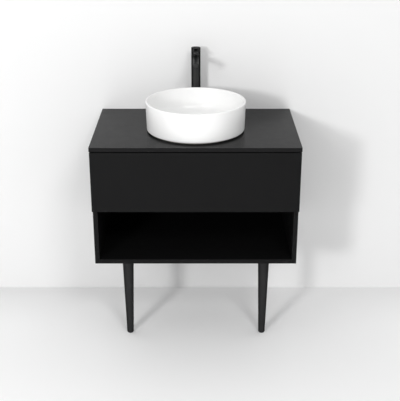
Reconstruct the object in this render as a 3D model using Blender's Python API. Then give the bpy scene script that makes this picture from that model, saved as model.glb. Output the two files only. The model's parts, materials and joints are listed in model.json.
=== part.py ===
"""A wall-hung vanity with one drawer, an open niche, two turned front legs, a round vessel basin and a tall mixer tap.

Metres, +Z up. The floor is Z = 0, the cabinet's centre line is X = 0 and Y = 0 is halfway from the worktop's
front edge, at -Y, to the wall plane, at +Y. "Left" is -X, as seen by someone who stands in front of it.
"""

import math

import bmesh
import bpy
from mathutils import Matrix, Vector

# ---------------------------------------------------------------- driving sizes

WIDTH = 0.800  # worktop
DEPTH = 0.520  # worktop's front edge to the wall
WORKTOP_THICK = 0.016
BOARD = 0.018  # carcass panels
FLOOR_CLEARANCE = 0.370  # floor to the underside of the carcass
NICHE_HEIGHT = 0.214
DRAWER_BAY_HEIGHT = 0.224

FIT = 0.0003  # gap between two pieces that touch
SIDE_INSET = 0.002  # carcass side, in from the worktop's end
FRONT_INSET = 0.001  # drawer front's end, in from the worktop's end
FRONT_THICK = 0.018
FRONT_SHADOW_GAP = 0.004  # under the worktop
FRONT_DROP = 0.002  # below the middle panel
FRONT_CUSHION = 0.002  # between the drawer front and the carcass
FINGER_GAP = 0.030  # middle panel's front edge, back from the carcass's front
BACK_SPACE = 0.0175  # clear space between the rear boards and the wall
NICHE_BACK_THICK = 0.008
RAIL_WIDTH = 0.080  # both top rails
TAP_NOTCH_HALF = 0.035  # in the back rail, for the tap's nut
TAP_NOTCH_DEPTH = 0.032

BASIN_RIM_R = 0.197
BASIN_FLARE = 0.004  # rim's radius less the base's
BASIN_HEIGHT = 0.120
BASIN_WALL = 0.007
BASIN_FLOOR = 0.013  # ceramic under the bowl's lowest ring
BASIN_FOOT = 0.004  # height of the recessed foot
BASIN_FOOT_INSET = 0.012
BOWL_CORNER_R = 0.036

WASTE_TUBE_R = 0.0215
WASTE_TUBE_WALL = 0.0025
WASTE_FLANGE_R = 0.0315
WASTE_FLANGE_THICK = 0.003
WASTE_TAIL = 0.058  # tube below the worktop
WASTE_CLEARANCE = 0.0015  # round the tube, in the basin and the worktop
PLUG_R = 0.0300

TRAP_PIPE_R = 0.016
TRAP_PIPE_WALL = 0.002
TRAP_BODY_R = 0.030
TRAP_CUP_HEIGHT = 0.050
TRAP_OUTLET_DROP = 0.048  # waste tail's end to the outlet's axis
ESCUTCHEON_R = 0.031

TAP_R = 0.019
TAP_HEIGHT = 0.278
TAP_FROM_WALL = 0.060
TAP_BEHIND_BASIN = 0.036  # basin's rim to the tap's axis
FOOT_RING_WIDTH = 0.004  # proud of the column
FOOT_RING_THICK = 0.004
CAP_HEIGHT = 0.028  # the part of the column that turns
CAP_WALL = 0.0038
CAP_SEAM = 0.0006
CAP_LID = 0.0018
SPOUT_R = 0.012
SPOUT_WALL = 0.0022
SPOUT_REACH = 0.156  # tap's axis to the spout's end
SPOUT_BELOW_TOP = 0.041  # tap's top to the spout's axis
AERATOR_INSET = 0.0035  # spout's outside to the aerator's
AERATOR_FROM_END = 0.0125
AERATOR_PROUD = 0.0015
LEVER_WIDTH = 0.015
LEVER_THICK = 0.009
LEVER_REACH = 0.075
LEVER_BELOW_TOP = 0.0115  # tap's top to the lever's pivot
LEVER_PIVOT_FORWARD = 0.006  # column's axis to the lever's pivot
LEVER_LIFT_DEG = 18.0
LEVER_PIN_R = 0.0015
CARTRIDGE_STEM = 0.0049
CARTRIDGE_NUT_WALL = 0.0018
CARTRIDGE_NUT_GAP = 0.0006  # nut to the cap that turns round it
CHAMBER_DEPTH = 0.012
COLUMN_WALL = 0.0075
SPOUT_PORT_R = 0.007  # from the column's bore to the spout's
LEVER_HEEL = 0.012  # behind its pivot
SHANK_SOCKET_WALL = 0.003  # column's wall round the shank's top
SHANK_SOCKET = 0.012
SHANK_WALL = 0.005
SHANK_BELOW = 0.045  # below the worktop's upper face
TAP_HOLE_CLEARANCE = 0.0015
INLET_WALL = 0.0018
INLET_CLEARANCE = 0.0008  # to the shank's bore
INLET_APART = 0.002
INLET_BELOW = 0.062
NUT_HEIGHT = 0.010
WASHER_THICK = 0.003
RUNNING_GAP = 0.0003  # round a pin that turns

LEG_FROM_SIDE = 0.1235  # worktop's end to a leg's axis
LEG_FROM_FRONT = 0.120
LEG_TOP_R = 0.0235
LEG_FOOT_R = 0.0138
LEG_PLATE_SIDE = 0.076
LEG_PLATE_THICK = 0.003
LEG_STUD_R = 0.004
LEG_STUD_DEPTH = 0.030  # in the leg
LEG_STUD_UP = 0.012  # in the carcass
GLIDE_PAD_HEIGHT = 0.004
GLIDE_R = 0.0115
GLIDE_STEM_R = 0.004
GLIDE_STEM = 0.028

DRAWER_SIDE_THICK = 0.012
DRAWER_BOTTOM_THICK = 0.008
DRAWER_UNDER_RAIL = 0.0335  # drawer sides' upper edges to the front rail
DRAWER_BACK_GAP = 0.046  # drawer's back to the back rail
DRAWER_ABOVE_PANEL = 0.022  # middle panel to the drawer sides' lower edges
DRAWER_BOTTOM_UP = 0.008  # drawer sides' lower edges to the bottom board
TRAP_BAY_HALF = 0.095  # half of the cut-out that clears the trap
TRAP_BAY_FRONT = 0.067  # basin's axis to the cut-out's front wall

RUNNER_END_GAP = 0.013  # runner's end to the drawer's back
RUNNER_HEIGHT = 0.045
RUNNER_SPACE = 0.013  # carcass side to drawer side
RUNNER_SHEET = 0.0012
RUNNER_BALL_GAP = 0.0023
RUNNER_ABOVE_PANEL = 0.080  # middle panel to the runner's lower edge
RUNNER_SETBACK = 0.0055  # behind the carcass's front edge

WALL_RAIL_HEIGHT = 0.034
WALL_RAIL_THICK = 0.002
WALL_RAIL_STAND = 0.008  # wall to the lip's front face
WALL_RAIL_LIP = 0.014
WALL_RAIL_MARGIN = 0.040  # carcass's inner side to the rail's end
HANGER_WIDTH = 0.060
HANGER_HEIGHT = 0.055
HANGER_THICK = 0.0025
HANGER_HOOK = 0.013
HANGER_BELOW_TOP = 0.009  # worktop's underside to the hanger's top
HANGER_FROM_SIDE = 0.060

# ---------------------------------------------------------------- places worked out from them

FRONT_Y = -DEPTH / 2
WALL_Y = DEPTH / 2
CARCASS_FRONT_Y = FRONT_Y + FRONT_THICK + FRONT_CUSHION
REAR_BOARD_Y = WALL_Y - BACK_SPACE

BOTTOM_TOP_Z = FLOOR_CLEARANCE + BOARD
MIDDLE_UNDER_Z = BOTTOM_TOP_Z + NICHE_HEIGHT
MIDDLE_TOP_Z = MIDDLE_UNDER_Z + BOARD
WORKTOP_UNDER_Z = MIDDLE_TOP_Z + DRAWER_BAY_HEIGHT
TOP_Z = WORKTOP_UNDER_Z + WORKTOP_THICK

CARCASS_HALF = WIDTH / 2 - SIDE_INSET
INNER_HALF = CARCASS_HALF - BOARD

TAP_Y = WALL_Y - TAP_FROM_WALL
BASIN_Y = TAP_Y - TAP_BEHIND_BASIN - BASIN_RIM_R
BASIN_BASE_R = BASIN_RIM_R - BASIN_FLARE
WASTE_HOLE_R = WASTE_TUBE_R + WASTE_CLEARANCE
BASIN_SEAT_Z = TOP_Z + FIT
BOWL_FLOOR_Z = BASIN_SEAT_Z + BASIN_FOOT + BASIN_FLOOR
FLANGE_TOP_Z = BOWL_FLOOR_Z
WASTE_END_Z = WORKTOP_UNDER_Z - WASTE_TAIL
OUTLET_Z = WASTE_END_Z - TRAP_OUTLET_DROP

TAP_TOP_Z = TOP_Z + TAP_HEIGHT
CAP_UNDER_Z = TAP_TOP_Z - CAP_HEIGHT
COLUMN_TOP_Z = CAP_UNDER_Z - CAP_SEAM
COLUMN_FOOT_Z = TOP_Z + FIT + FOOT_RING_THICK + FIT
SPOUT_Z = TAP_TOP_Z - SPOUT_BELOW_TOP
LEVER_Z = TAP_TOP_Z - LEVER_BELOW_TOP
LEVER_PIVOT_Y = TAP_Y - LEVER_PIVOT_FORWARD
AERATOR_R = SPOUT_R - AERATOR_INSET
CARTRIDGE_NUT_R = TAP_R - CAP_WALL - CARTRIDGE_NUT_GAP
CARTRIDGE_R = CARTRIDGE_NUT_R - CARTRIDGE_NUT_WALL - FIT
SHANK_R = TAP_R - SHANK_SOCKET_WALL
SHANK_BORE_R = SHANK_R - SHANK_WALL
SHANK_TOP_Z = COLUMN_FOOT_Z + SHANK_SOCKET - FIT
INLET_R = (SHANK_BORE_R - INLET_CLEARANCE - INLET_APART / 2) / 2

LEG_X = WIDTH / 2 - LEG_FROM_SIDE
LEG_Y = FRONT_Y + LEG_FROM_FRONT
LEG_FOOT_Z = GLIDE_PAD_HEIGHT + FIT
LEG_TOP_Z = FLOOR_CLEARANCE - FIT - LEG_PLATE_THICK - FIT

DRAWER_FRONT_BOTTOM_Z = MIDDLE_UNDER_Z - FRONT_DROP
DRAWER_FRONT_TOP_Z = WORKTOP_UNDER_Z - FRONT_SHADOW_GAP
DRAWER_HALF = INNER_HALF - RUNNER_SPACE
DRAWER_INNER_HALF = DRAWER_HALF - DRAWER_SIDE_THICK
DRAWER_BOX_FRONT_Y = FRONT_Y + FRONT_THICK + FIT
DRAWER_BOX_BACK_Y = REAR_BOARD_Y - BOARD - DRAWER_BACK_GAP
DRAWER_BOX_Z = MIDDLE_TOP_Z + DRAWER_ABOVE_PANEL
DRAWER_BOTTOM_Z = DRAWER_BOX_Z + DRAWER_BOTTOM_UP
DRAWER_BOX_TOP_Z = WORKTOP_UNDER_Z - FIT - BOARD - DRAWER_UNDER_RAIL
TRAP_BAY_Y = BASIN_Y - TRAP_BAY_FRONT

FINE_ROUND = 64  # sides of the basin
ROUND = 32  # sides of the tap, the legs and the pipes
SMALL_ROUND = 16  # sides of pins, studs and stems
SMOOTH_ANGLE = math.radians(40)

FINISHES = {  # name: (colour, roughness, metallic)
    "black_lacquer": ((0.018, 0.018, 0.019), 0.5, 0.0),
    "black_laminate": ((0.022, 0.022, 0.023), 0.45, 0.0),
    "drawer_board": ((0.05, 0.05, 0.052), 0.55, 0.0),
    "white_ceramic": ((0.88, 0.88, 0.87), 0.12, 0.0),
    "black_metal": ((0.015, 0.015, 0.016), 0.38, 1.0),
    "zinc_steel": ((0.62, 0.63, 0.65), 0.35, 1.0),
    "brass": ((0.72, 0.58, 0.32), 0.35, 1.0),
    "rubber": ((0.03, 0.03, 0.03), 0.8, 0.0),
    "black_plastic": ((0.025, 0.025, 0.026), 0.5, 0.0),
    "white_plastic": ((0.85, 0.85, 0.84), 0.4, 0.0),
}


# ---------------------------------------------------------------- building tools


def finish(name):
    """The named finish as a material."""
    found = bpy.data.materials.get(name)
    if found:
        return found
    colour, roughness, metallic = FINISHES[name]
    material = bpy.data.materials.new(name)
    material.use_nodes = True
    shader = material.node_tree.nodes["Principled BSDF"]
    shader.inputs["Base Color"].default_value = (*colour, 1.0)
    shader.inputs["Roughness"].default_value = roughness
    shader.inputs["Metallic"].default_value = metallic
    return material


def add_object(name, bm, finish_name, place=(0, 0, 0), parent=None):
    """An object made of the bmesh bm, at place in the world, under an empty if one is given."""
    mesh = bpy.data.meshes.new(name)
    bm.to_mesh(mesh)
    bm.free()
    mesh.shade_smooth()
    mesh.set_sharp_from_angle(angle=SMOOTH_ANGLE)
    mesh.materials.append(finish(finish_name))
    obj = bpy.data.objects.new(name, mesh)
    bpy.context.scene.collection.objects.link(obj)
    if parent:
        obj.parent = parent
        obj.location = Vector(place) - parent.location
    else:
        obj.location = place
    return obj


def pivot(name, place):
    """An empty on a joint's axis, which the moving pieces hang on."""
    empty = bpy.data.objects.new(name, None)
    empty.location = place
    bpy.context.scene.collection.objects.link(empty)
    return empty


def box(name, x, y, z, finish_name, parent=None):
    """A rectangular block. x, y and z are each (low, high) in the world."""
    bm = bmesh.new()
    bmesh.ops.create_cube(bm, size=1.0)
    size = Vector((x[1] - x[0], y[1] - y[0], z[1] - z[0]))
    bmesh.ops.scale(bm, vec=size, verts=bm.verts)
    centre = Vector((sum(x) / 2, sum(y) / 2, sum(z) / 2))
    return add_object(name, bm, finish_name, centre, parent)


def turned_mesh(profile, sides):
    """Points (radius, height) turned about Z. A profile that starts on the axis is open; any other closes on itself."""
    bm = bmesh.new()
    points = [bm.verts.new((radius, 0, height)) for radius, height in profile]
    edges = [bm.edges.new(pair) for pair in zip(points, points[1:])]
    if profile[0][0] > 0:
        edges.append(bm.edges.new((points[-1], points[0])))
    bmesh.ops.spin(
        bm,
        geom=points + edges,
        axis=(0, 0, 1),
        cent=(0, 0, 0),
        angle=math.tau,
        steps=sides,
        use_merge=True,
    )
    bmesh.ops.remove_doubles(bm, verts=bm.verts, dist=1e-6)
    bmesh.ops.recalc_face_normals(bm, faces=bm.faces)
    return bm


def turned(name, profile, place, finish_name, sides=ROUND, parent=None, turn=None):
    """A turned piece, its axis along Z unless a rotation matrix is given."""
    bm = turned_mesh(profile, sides)
    if turn:
        bmesh.ops.transform(bm, matrix=turn, verts=bm.verts)
    return add_object(name, bm, finish_name, place, parent)


def prism(name, outline, spans, finish_name, parent=None):
    """An outline of (a, b) points in the plane across X, Y or Z, run along it. spans is ("Y", low, high), for instance."""
    axis, low, high = spans
    order = {"X": (2, 0, 1), "Y": (0, 2, 1), "Z": (0, 1, 2)}[axis]
    bm = bmesh.new()
    corners = []
    for a, b in outline:
        flat = (a, b, low)
        corners.append(bm.verts.new([flat[i] for i in order]))
    face = bm.faces.new(corners)
    made = bmesh.ops.extrude_face_region(bm, geom=[face])["geom"]
    along = Vector([(0, 0, high - low)[i] for i in order])
    moved = [v for v in made if isinstance(v, bmesh.types.BMVert)]
    bmesh.ops.translate(bm, vec=along, verts=moved)
    bmesh.ops.recalc_face_normals(bm, faces=bm.faces)
    centre = sum((v.co for v in bm.verts), Vector()) / len(bm.verts)
    bmesh.ops.translate(bm, vec=-centre, verts=bm.verts)
    return add_object(name, bm, finish_name, centre, parent)


def cut(target, cutter, solver="EXACT"):
    """Takes the cutter's shape out of the target."""
    modifier = target.modifiers.new("cut_" + cutter.name, "BOOLEAN")
    modifier.operation = "DIFFERENCE"
    modifier.solver = solver
    modifier.object = cutter
    cutter.hide_render = True
    cutter.display_type = "WIRE"


def drill(target, radius, place, low, high, axis="Z", sides=ROUND):
    """A round hole along an axis, from low to high measured from place."""
    profile = [(0, low), (radius, low), (radius, high), (0, high)]
    turn = {
        "X": Matrix.Rotation(math.pi / 2, 4, "Y"),
        "Y": Matrix.Rotation(-math.pi / 2, 4, "X"),
        "Z": None,
    }[axis]
    name = "hole_in_" + target.name + "_" + str(len(target.modifiers))
    cut(target, turned(name, profile, place, "rubber", sides, turn=turn))


def arc(centre, radius, start_deg, end_deg, steps):
    """Points (radius, height) on an arc about centre, both ends included."""
    points = []
    for i in range(steps + 1):
        angle = math.radians(start_deg + (end_deg - start_deg) * i / steps)
        x = centre[0] + radius * math.cos(angle)
        points.append((x, centre[1] + radius * math.sin(angle)))
    return points


def tube_profile(outer, inner, low, high):
    """A plain ring or tube as a profile for turned()."""
    return [(inner, low), (outer, low), (outer, high), (inner, high)]


def both_sides():
    """(name ending, sign of X) for each side."""
    return (("left", -1), ("right", 1))


def span(sign, near, far):
    """(low, high) along X of a piece from near to far of the centre line, on the side with that sign."""
    return tuple(sorted((sign * near, sign * far)))


# ---------------------------------------------------------------- cabinet


def build_worktop():
    """The slab, with a hole for the waste and one for the tap's shank."""
    worktop = box(
        "worktop",
        (-WIDTH / 2, WIDTH / 2),
        (FRONT_Y, WALL_Y),
        (WORKTOP_UNDER_Z, TOP_Z),
        "black_laminate",
    )
    reach = WORKTOP_THICK * 2
    drill(worktop, WASTE_HOLE_R, (0, BASIN_Y, TOP_Z), -reach, reach)
    drill(worktop, SHANK_R + TAP_HOLE_CLEARANCE, (0, TAP_Y, TOP_Z), -reach, reach)


def build_carcass():
    """Sides, bottom, middle panel, niche back and the two top rails."""
    panel_x = (-INNER_HALF + FIT, INNER_HALF - FIT)
    side_z = (FLOOR_CLEARANCE, WORKTOP_UNDER_Z - FIT)
    for side, sign in both_sides():
        x = span(sign, INNER_HALF, CARCASS_HALF)
        name = "side_panel_" + side
        box(name, x, (CARCASS_FRONT_Y, WALL_Y), side_z, "black_lacquer")
    box(
        "bottom_panel",
        panel_x,
        (CARCASS_FRONT_Y, REAR_BOARD_Y),
        (FLOOR_CLEARANCE, BOTTOM_TOP_Z),
        "black_lacquer",
    )
    box(
        "middle_panel",
        panel_x,
        (CARCASS_FRONT_Y + FINGER_GAP, REAR_BOARD_Y),
        (MIDDLE_UNDER_Z, MIDDLE_TOP_Z),
        "black_lacquer",
    )
    box(
        "niche_back",
        panel_x,
        (REAR_BOARD_Y - NICHE_BACK_THICK, REAR_BOARD_Y),
        (BOTTOM_TOP_Z + FIT, MIDDLE_UNDER_Z - FIT),
        "black_lacquer",
    )
    box(
        "front_rail",
        panel_x,
        (CARCASS_FRONT_Y, CARCASS_FRONT_Y + RAIL_WIDTH),
        (WORKTOP_UNDER_Z - FIT - BOARD, WORKTOP_UNDER_Z - FIT),
        "black_lacquer",
    )
    low, high = WORKTOP_UNDER_Z - FIT - RAIL_WIDTH, WORKTOP_UNDER_Z - FIT
    notch_z = high - TAP_NOTCH_DEPTH
    notched = [
        (panel_x[0], low),
        (panel_x[1], low),
        (panel_x[1], high),
        (TAP_NOTCH_HALF, high),
        (TAP_NOTCH_HALF, notch_z),
        (-TAP_NOTCH_HALF, notch_z),
        (-TAP_NOTCH_HALF, high),
        (panel_x[0], high),
    ]
    prism("back_rail", notched, ("Y", REAR_BOARD_Y - BOARD, REAR_BOARD_Y), "black_lacquer")


def build_wall_hanging():
    """The steel rail that is screwed to the wall, and the two hooks on the back rail that hang on its lip."""
    hook_top_z = WORKTOP_UNDER_Z - HANGER_BELOW_TOP
    lip_top_z = hook_top_z - HANGER_THICK - FIT
    jog_z = lip_top_z - WALL_RAIL_LIP
    lip_front_y = WALL_Y - WALL_RAIL_STAND
    strip_y = WALL_Y - WALL_RAIL_THICK
    rail_half = INNER_HALF - WALL_RAIL_MARGIN
    rail = [
        (WALL_Y, jog_z - WALL_RAIL_HEIGHT),
        (WALL_Y, jog_z),
        (lip_front_y + WALL_RAIL_THICK, jog_z),
        (lip_front_y + WALL_RAIL_THICK, lip_top_z),
        (lip_front_y, lip_top_z),
        (lip_front_y, jog_z - WALL_RAIL_THICK),
        (strip_y, jog_z - WALL_RAIL_THICK),
        (strip_y, jog_z - WALL_RAIL_HEIGHT),
    ]
    prism("wall_rail", rail, ("X", -rail_half, rail_half), "zinc_steel")
    plate_y = REAR_BOARD_Y + FIT
    slot_y = (lip_front_y + WALL_RAIL_THICK + WALL_Y) / 2
    hook = [
        (plate_y, hook_top_z - HANGER_HEIGHT),
        (plate_y + HANGER_THICK, hook_top_z - HANGER_HEIGHT),
        (plate_y + HANGER_THICK, hook_top_z - HANGER_THICK),
        (slot_y - HANGER_THICK / 2, hook_top_z - HANGER_THICK),
        (slot_y - HANGER_THICK / 2, hook_top_z - HANGER_HOOK),
        (slot_y + HANGER_THICK / 2, hook_top_z - HANGER_HOOK),
        (slot_y + HANGER_THICK / 2, hook_top_z),
        (plate_y, hook_top_z),
    ]
    for side, sign in both_sides():
        far = INNER_HALF - HANGER_FROM_SIDE
        x = span(sign, far - HANGER_WIDTH, far)
        prism("hanger_" + side, hook, ("X", *x), "zinc_steel")


def build_legs():
    """Each leg is a turned taper on a plate, held by a stud, with a screw-in glide in its foot."""
    plate_low = FLOOR_CLEARANCE - FIT - LEG_PLATE_THICK
    half = LEG_PLATE_SIDE / 2
    edge_r = 0.0015
    for side, sign in both_sides():
        x = sign * LEG_X
        plate = box(
            "leg_plate_" + side,
            (x - half, x + half),
            (LEG_Y - half, LEG_Y + half),
            (plate_low, plate_low + LEG_PLATE_THICK),
            "black_metal",
        )
        hole_r = LEG_STUD_R + FIT
        drill(plate, hole_r, (x, LEG_Y, plate_low), -BOARD, BOARD, sides=SMALL_ROUND)
        bottom = bpy.data.objects["bottom_panel"]
        stud_top = FLOOR_CLEARANCE + LEG_STUD_UP
        drill(bottom, hole_r, (x, LEG_Y, stud_top), -BOARD, FIT, sides=SMALL_ROUND)

        glide_hole_top = LEG_FOOT_Z + GLIDE_STEM + FIT
        stud_low = LEG_TOP_Z - LEG_STUD_DEPTH
        stem_hole_r = GLIDE_STEM_R + RUNNING_GAP
        outline = [
            (0, glide_hole_top),
            (stem_hole_r, glide_hole_top),
            (stem_hole_r, LEG_FOOT_Z),
            (LEG_FOOT_R - edge_r, LEG_FOOT_Z),
            (LEG_FOOT_R, LEG_FOOT_Z + edge_r),
            (LEG_TOP_R, LEG_TOP_Z - edge_r),
            (LEG_TOP_R - edge_r, LEG_TOP_Z),
            (hole_r, LEG_TOP_Z),
            (hole_r, stud_low - FIT),
            (0, stud_low - FIT),
        ]
        turned("leg_" + side, outline, (x, LEG_Y, 0), "black_lacquer")
        stud = [(0, stud_low), (LEG_STUD_R, stud_low), (LEG_STUD_R, stud_top), (0, stud_top)]
        turned("leg_stud_" + side, stud, (x, LEG_Y, 0), "zinc_steel", SMALL_ROUND)

        place = (x, LEG_Y, 0)
        screw = pivot("glide_screw_" + side, place)
        glide = [
            (0, 0),
            (GLIDE_R - edge_r, 0),
            (GLIDE_R, edge_r),
            (GLIDE_R, GLIDE_PAD_HEIGHT),
            (GLIDE_STEM_R, GLIDE_PAD_HEIGHT),
            (GLIDE_STEM_R, GLIDE_PAD_HEIGHT + GLIDE_STEM),
            (0, GLIDE_PAD_HEIGHT + GLIDE_STEM),
        ]
        turned("glide_" + side, glide, place, "black_plastic", SMALL_ROUND, screw)


# ---------------------------------------------------------------- basin, waste and trap


def build_basin():
    """A round bowl with thin, nearly upright walls, a recessed foot and a seat for the waste."""
    bottom_z = BASIN_FOOT
    lip_r = BASIN_WALL / 2
    outer_corner = 0.006
    draft = (BASIN_RIM_R - BASIN_BASE_R) / (BASIN_HEIGHT - bottom_z)
    bowl_r = BASIN_RIM_R - BASIN_WALL
    floor_z = BOWL_FLOOR_Z - BASIN_SEAT_Z
    floor_fall = 0.003  # from the corner's foot down to the waste
    corner_z = floor_z + floor_fall + BOWL_CORNER_R
    bowl_low_r = bowl_r - draft * (BASIN_HEIGHT - lip_r - corner_z)
    foot_r = BASIN_BASE_R - BASIN_FOOT_INSET
    foot_width = 0.016
    seat_r = WASTE_FLANGE_R + WASTE_CLEARANCE
    seat_z = floor_z - WASTE_FLANGE_THICK
    hole_r = WASTE_HOLE_R
    arch_z = bottom_z - 0.001
    profile = [
        (hole_r, 0.0),
        (hole_r + foot_width, 0.0),
        (hole_r + foot_width, arch_z),
        (foot_r - foot_width, arch_z),
        (foot_r - foot_width, 0.0),
        (foot_r, 0.0),
        (foot_r, bottom_z),
    ]
    corner_centre = (BASIN_BASE_R - outer_corner, bottom_z + outer_corner)
    profile += arc(corner_centre, outer_corner, -90, 0, 3)
    rim_centre = (BASIN_RIM_R - lip_r, BASIN_HEIGHT - lip_r)
    profile += arc(rim_centre, lip_r, 0, 180, 6)
    profile += arc((bowl_low_r - BOWL_CORNER_R, corner_z), BOWL_CORNER_R, 0, -90, 6)
    profile += [(seat_r, floor_z), (seat_r, seat_z), (hole_r, seat_z)]
    place = (0, BASIN_Y, BASIN_SEAT_Z)
    turned("basin", profile, place, "white_ceramic", FINE_ROUND)


def build_waste():
    """The flanged tube through basin and worktop, its washer and nut, and the plug that lifts out of its seat."""
    place = (0, BASIN_Y, 0)
    bore_r = WASTE_TUBE_R - WASTE_TUBE_WALL
    seat_low = FLANGE_TOP_Z - WASTE_FLANGE_THICK + FIT
    bridge_low = TOP_Z - WORKTOP_THICK
    bridge = 0.004  # the web that guides the plug's stem
    stem_r = 0.0035
    body = [
        (stem_r + RUNNING_GAP, bridge_low),
        (bore_r, bridge_low),
        (bore_r, WASTE_END_Z),
        (WASTE_TUBE_R, WASTE_END_Z),
        (WASTE_TUBE_R, seat_low),
        (WASTE_FLANGE_R, seat_low),
        (WASTE_FLANGE_R, FLANGE_TOP_Z - 0.001),
        (WASTE_FLANGE_R - 0.001, FLANGE_TOP_Z),
        (bore_r + 0.004, FLANGE_TOP_Z),
        (bore_r, FLANGE_TOP_Z - 0.004),
        (bore_r, bridge_low + bridge),
        (stem_r + RUNNING_GAP, bridge_low + bridge),
    ]
    waste = turned("waste_body", body, place, "brass")
    slot_r = 0.0045
    slot_ring_r = (bore_r + stem_r) / 2 + 0.0005
    for i in range(4):
        angle = math.tau * i / 4
        x = slot_ring_r * math.cos(angle)
        y = BASIN_Y + slot_ring_r * math.sin(angle)
        drill(waste, slot_r, (x, y, bridge_low), -bridge, bridge * 2, sides=12)

    washer_top = WORKTOP_UNDER_Z - FIT
    ring_r = WASTE_TUBE_R + FIT
    washer_r = WASTE_FLANGE_R
    washer = tube_profile(washer_r, ring_r, washer_top - WASHER_THICK, washer_top)
    turned("waste_washer", washer, place, "rubber")
    nut_top = washer_top - WASHER_THICK - FIT
    hex_nut("waste_nut", washer_r, ring_r, place, nut_top - NUT_HEIGHT, nut_top, "brass")

    dome = 0.003
    rim = 0.002
    cap_low = FLANGE_TOP_Z + FIT
    stem_low = bridge_low - 0.010
    joint = pivot("plug_pivot", (0, BASIN_Y, cap_low))
    cap = [
        (0, stem_low),
        (stem_r, stem_low),
        (stem_r, cap_low),
        (PLUG_R - 0.001, cap_low),
        (PLUG_R, cap_low + 0.001),
        (PLUG_R, cap_low + rim),
        (PLUG_R * 0.7, cap_low + rim + dome * 0.6),
        (PLUG_R * 0.35, cap_low + rim + dome * 0.92),
        (0, cap_low + rim + dome),
    ]
    turned("waste_plug", cap, place, "black_metal", parent=joint)


def hex_nut(name, radius, bore, place, low, high, finish_name):
    """A hexagonal nut, radius to its corners, with a plain bore."""
    corners = [math.tau * (i + 0.5) / 6 for i in range(6)]
    outline = [
        (place[0] + radius * math.cos(a), place[1] + radius * math.sin(a))
        for a in corners
    ]
    nut = prism(name, outline, ("Z", low, high), finish_name)
    drill(nut, bore, (place[0], place[1], low), -(high - low), 2 * (high - low))


def build_trap():
    """A bottle trap: inlet nut, body with a dip tube, screw-on cup, and the outlet pipe to the wall."""
    place = (0, BASIN_Y, 0)
    pipe_bore = TRAP_PIPE_R - TRAP_PIPE_WALL
    nut_r = WASTE_TUBE_R + 0.0055
    nut_lip = 0.003
    collar_r = WASTE_TUBE_R - FIT
    collar = 0.004
    collar_top = WASTE_END_Z - FIT
    nut_low = collar_top - collar - FIT - nut_lip
    nut = [
        (TRAP_PIPE_R + FIT, nut_low),
        (nut_r, nut_low),
        (nut_r, nut_low + 0.022),
        (WASTE_TUBE_R + FIT, nut_low + 0.022),
        (WASTE_TUBE_R + FIT, nut_low + nut_lip),
        (TRAP_PIPE_R + FIT, nut_low + nut_lip),
    ]
    turned("trap_inlet_nut", nut, place, "white_plastic")

    wall = 0.0025
    body_top = OUTLET_Z + TRAP_PIPE_R + 0.006
    body_low = OUTLET_Z - TRAP_PIPE_R - 0.010
    dip_low = body_low - TRAP_CUP_HEIGHT * 0.55
    body = [
        (pipe_bore, dip_low),
        (TRAP_PIPE_R, dip_low),
        (TRAP_PIPE_R, body_top - wall),
        (TRAP_BODY_R - wall, body_top - wall),
        (TRAP_BODY_R - wall, body_low),
        (TRAP_BODY_R, body_low),
        (TRAP_BODY_R, body_top - 0.003),
        (TRAP_BODY_R - 0.003, body_top),
        (TRAP_PIPE_R, body_top + 0.002),
        (TRAP_PIPE_R, collar_top - collar),
        (collar_r, collar_top - collar),
        (collar_r, collar_top),
        (pipe_bore, collar_top),
    ]
    trap = turned("trap_body", body, place, "white_plastic")
    outlet_place = (0, BASIN_Y, OUTLET_Z)
    outlet_hole_r = TRAP_PIPE_R + FIT
    start = TRAP_PIPE_R + 0.006
    drill(trap, outlet_hole_r, outlet_place, start, TRAP_BODY_R * 2, axis="Y")

    cup_top = body_low - FIT
    cup_low = cup_top - TRAP_CUP_HEIGHT
    cup = [
        (0, cup_low),
        (TRAP_BODY_R - 0.006, cup_low),
        (TRAP_BODY_R, cup_low + 0.006),
        (TRAP_BODY_R, cup_top - 0.012),
        (TRAP_BODY_R + 0.003, cup_top - 0.012),
        (TRAP_BODY_R + 0.003, cup_top),
        (TRAP_BODY_R - wall, cup_top),
        (TRAP_BODY_R - wall, cup_low + 0.007),
        (TRAP_BODY_R - 0.007, cup_low + wall),
        (0, cup_low + wall),
    ]
    turned("trap_cup", cup, place, "white_plastic")

    along_y = Matrix.Rotation(-math.pi / 2, 4, "X")
    pipe_start = TRAP_BODY_R - wall - 0.001
    pipe_end = WALL_Y - BASIN_Y
    pipe = tube_profile(TRAP_PIPE_R, pipe_bore, pipe_start, pipe_end)
    turned("trap_outlet_pipe", pipe, outlet_place, "white_plastic", turn=along_y)
    gland_start = TRAP_BODY_R + FIT
    gland = tube_profile(TRAP_PIPE_R + 0.007, outlet_hole_r, gland_start, gland_start + 0.02)
    turned("trap_outlet_nut", gland, outlet_place, "white_plastic", turn=along_y)
    plate = [
        (outlet_hole_r, pipe_end),
        (outlet_hole_r, pipe_end - 0.006),
        (TRAP_PIPE_R + 0.006, pipe_end - 0.006),
        (ESCUTCHEON_R, pipe_end - 0.002),
        (ESCUTCHEON_R, pipe_end),
    ]
    turned("wall_escutcheon", plate, outlet_place, "white_plastic", turn=along_y)


# ---------------------------------------------------------------- tap


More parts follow.
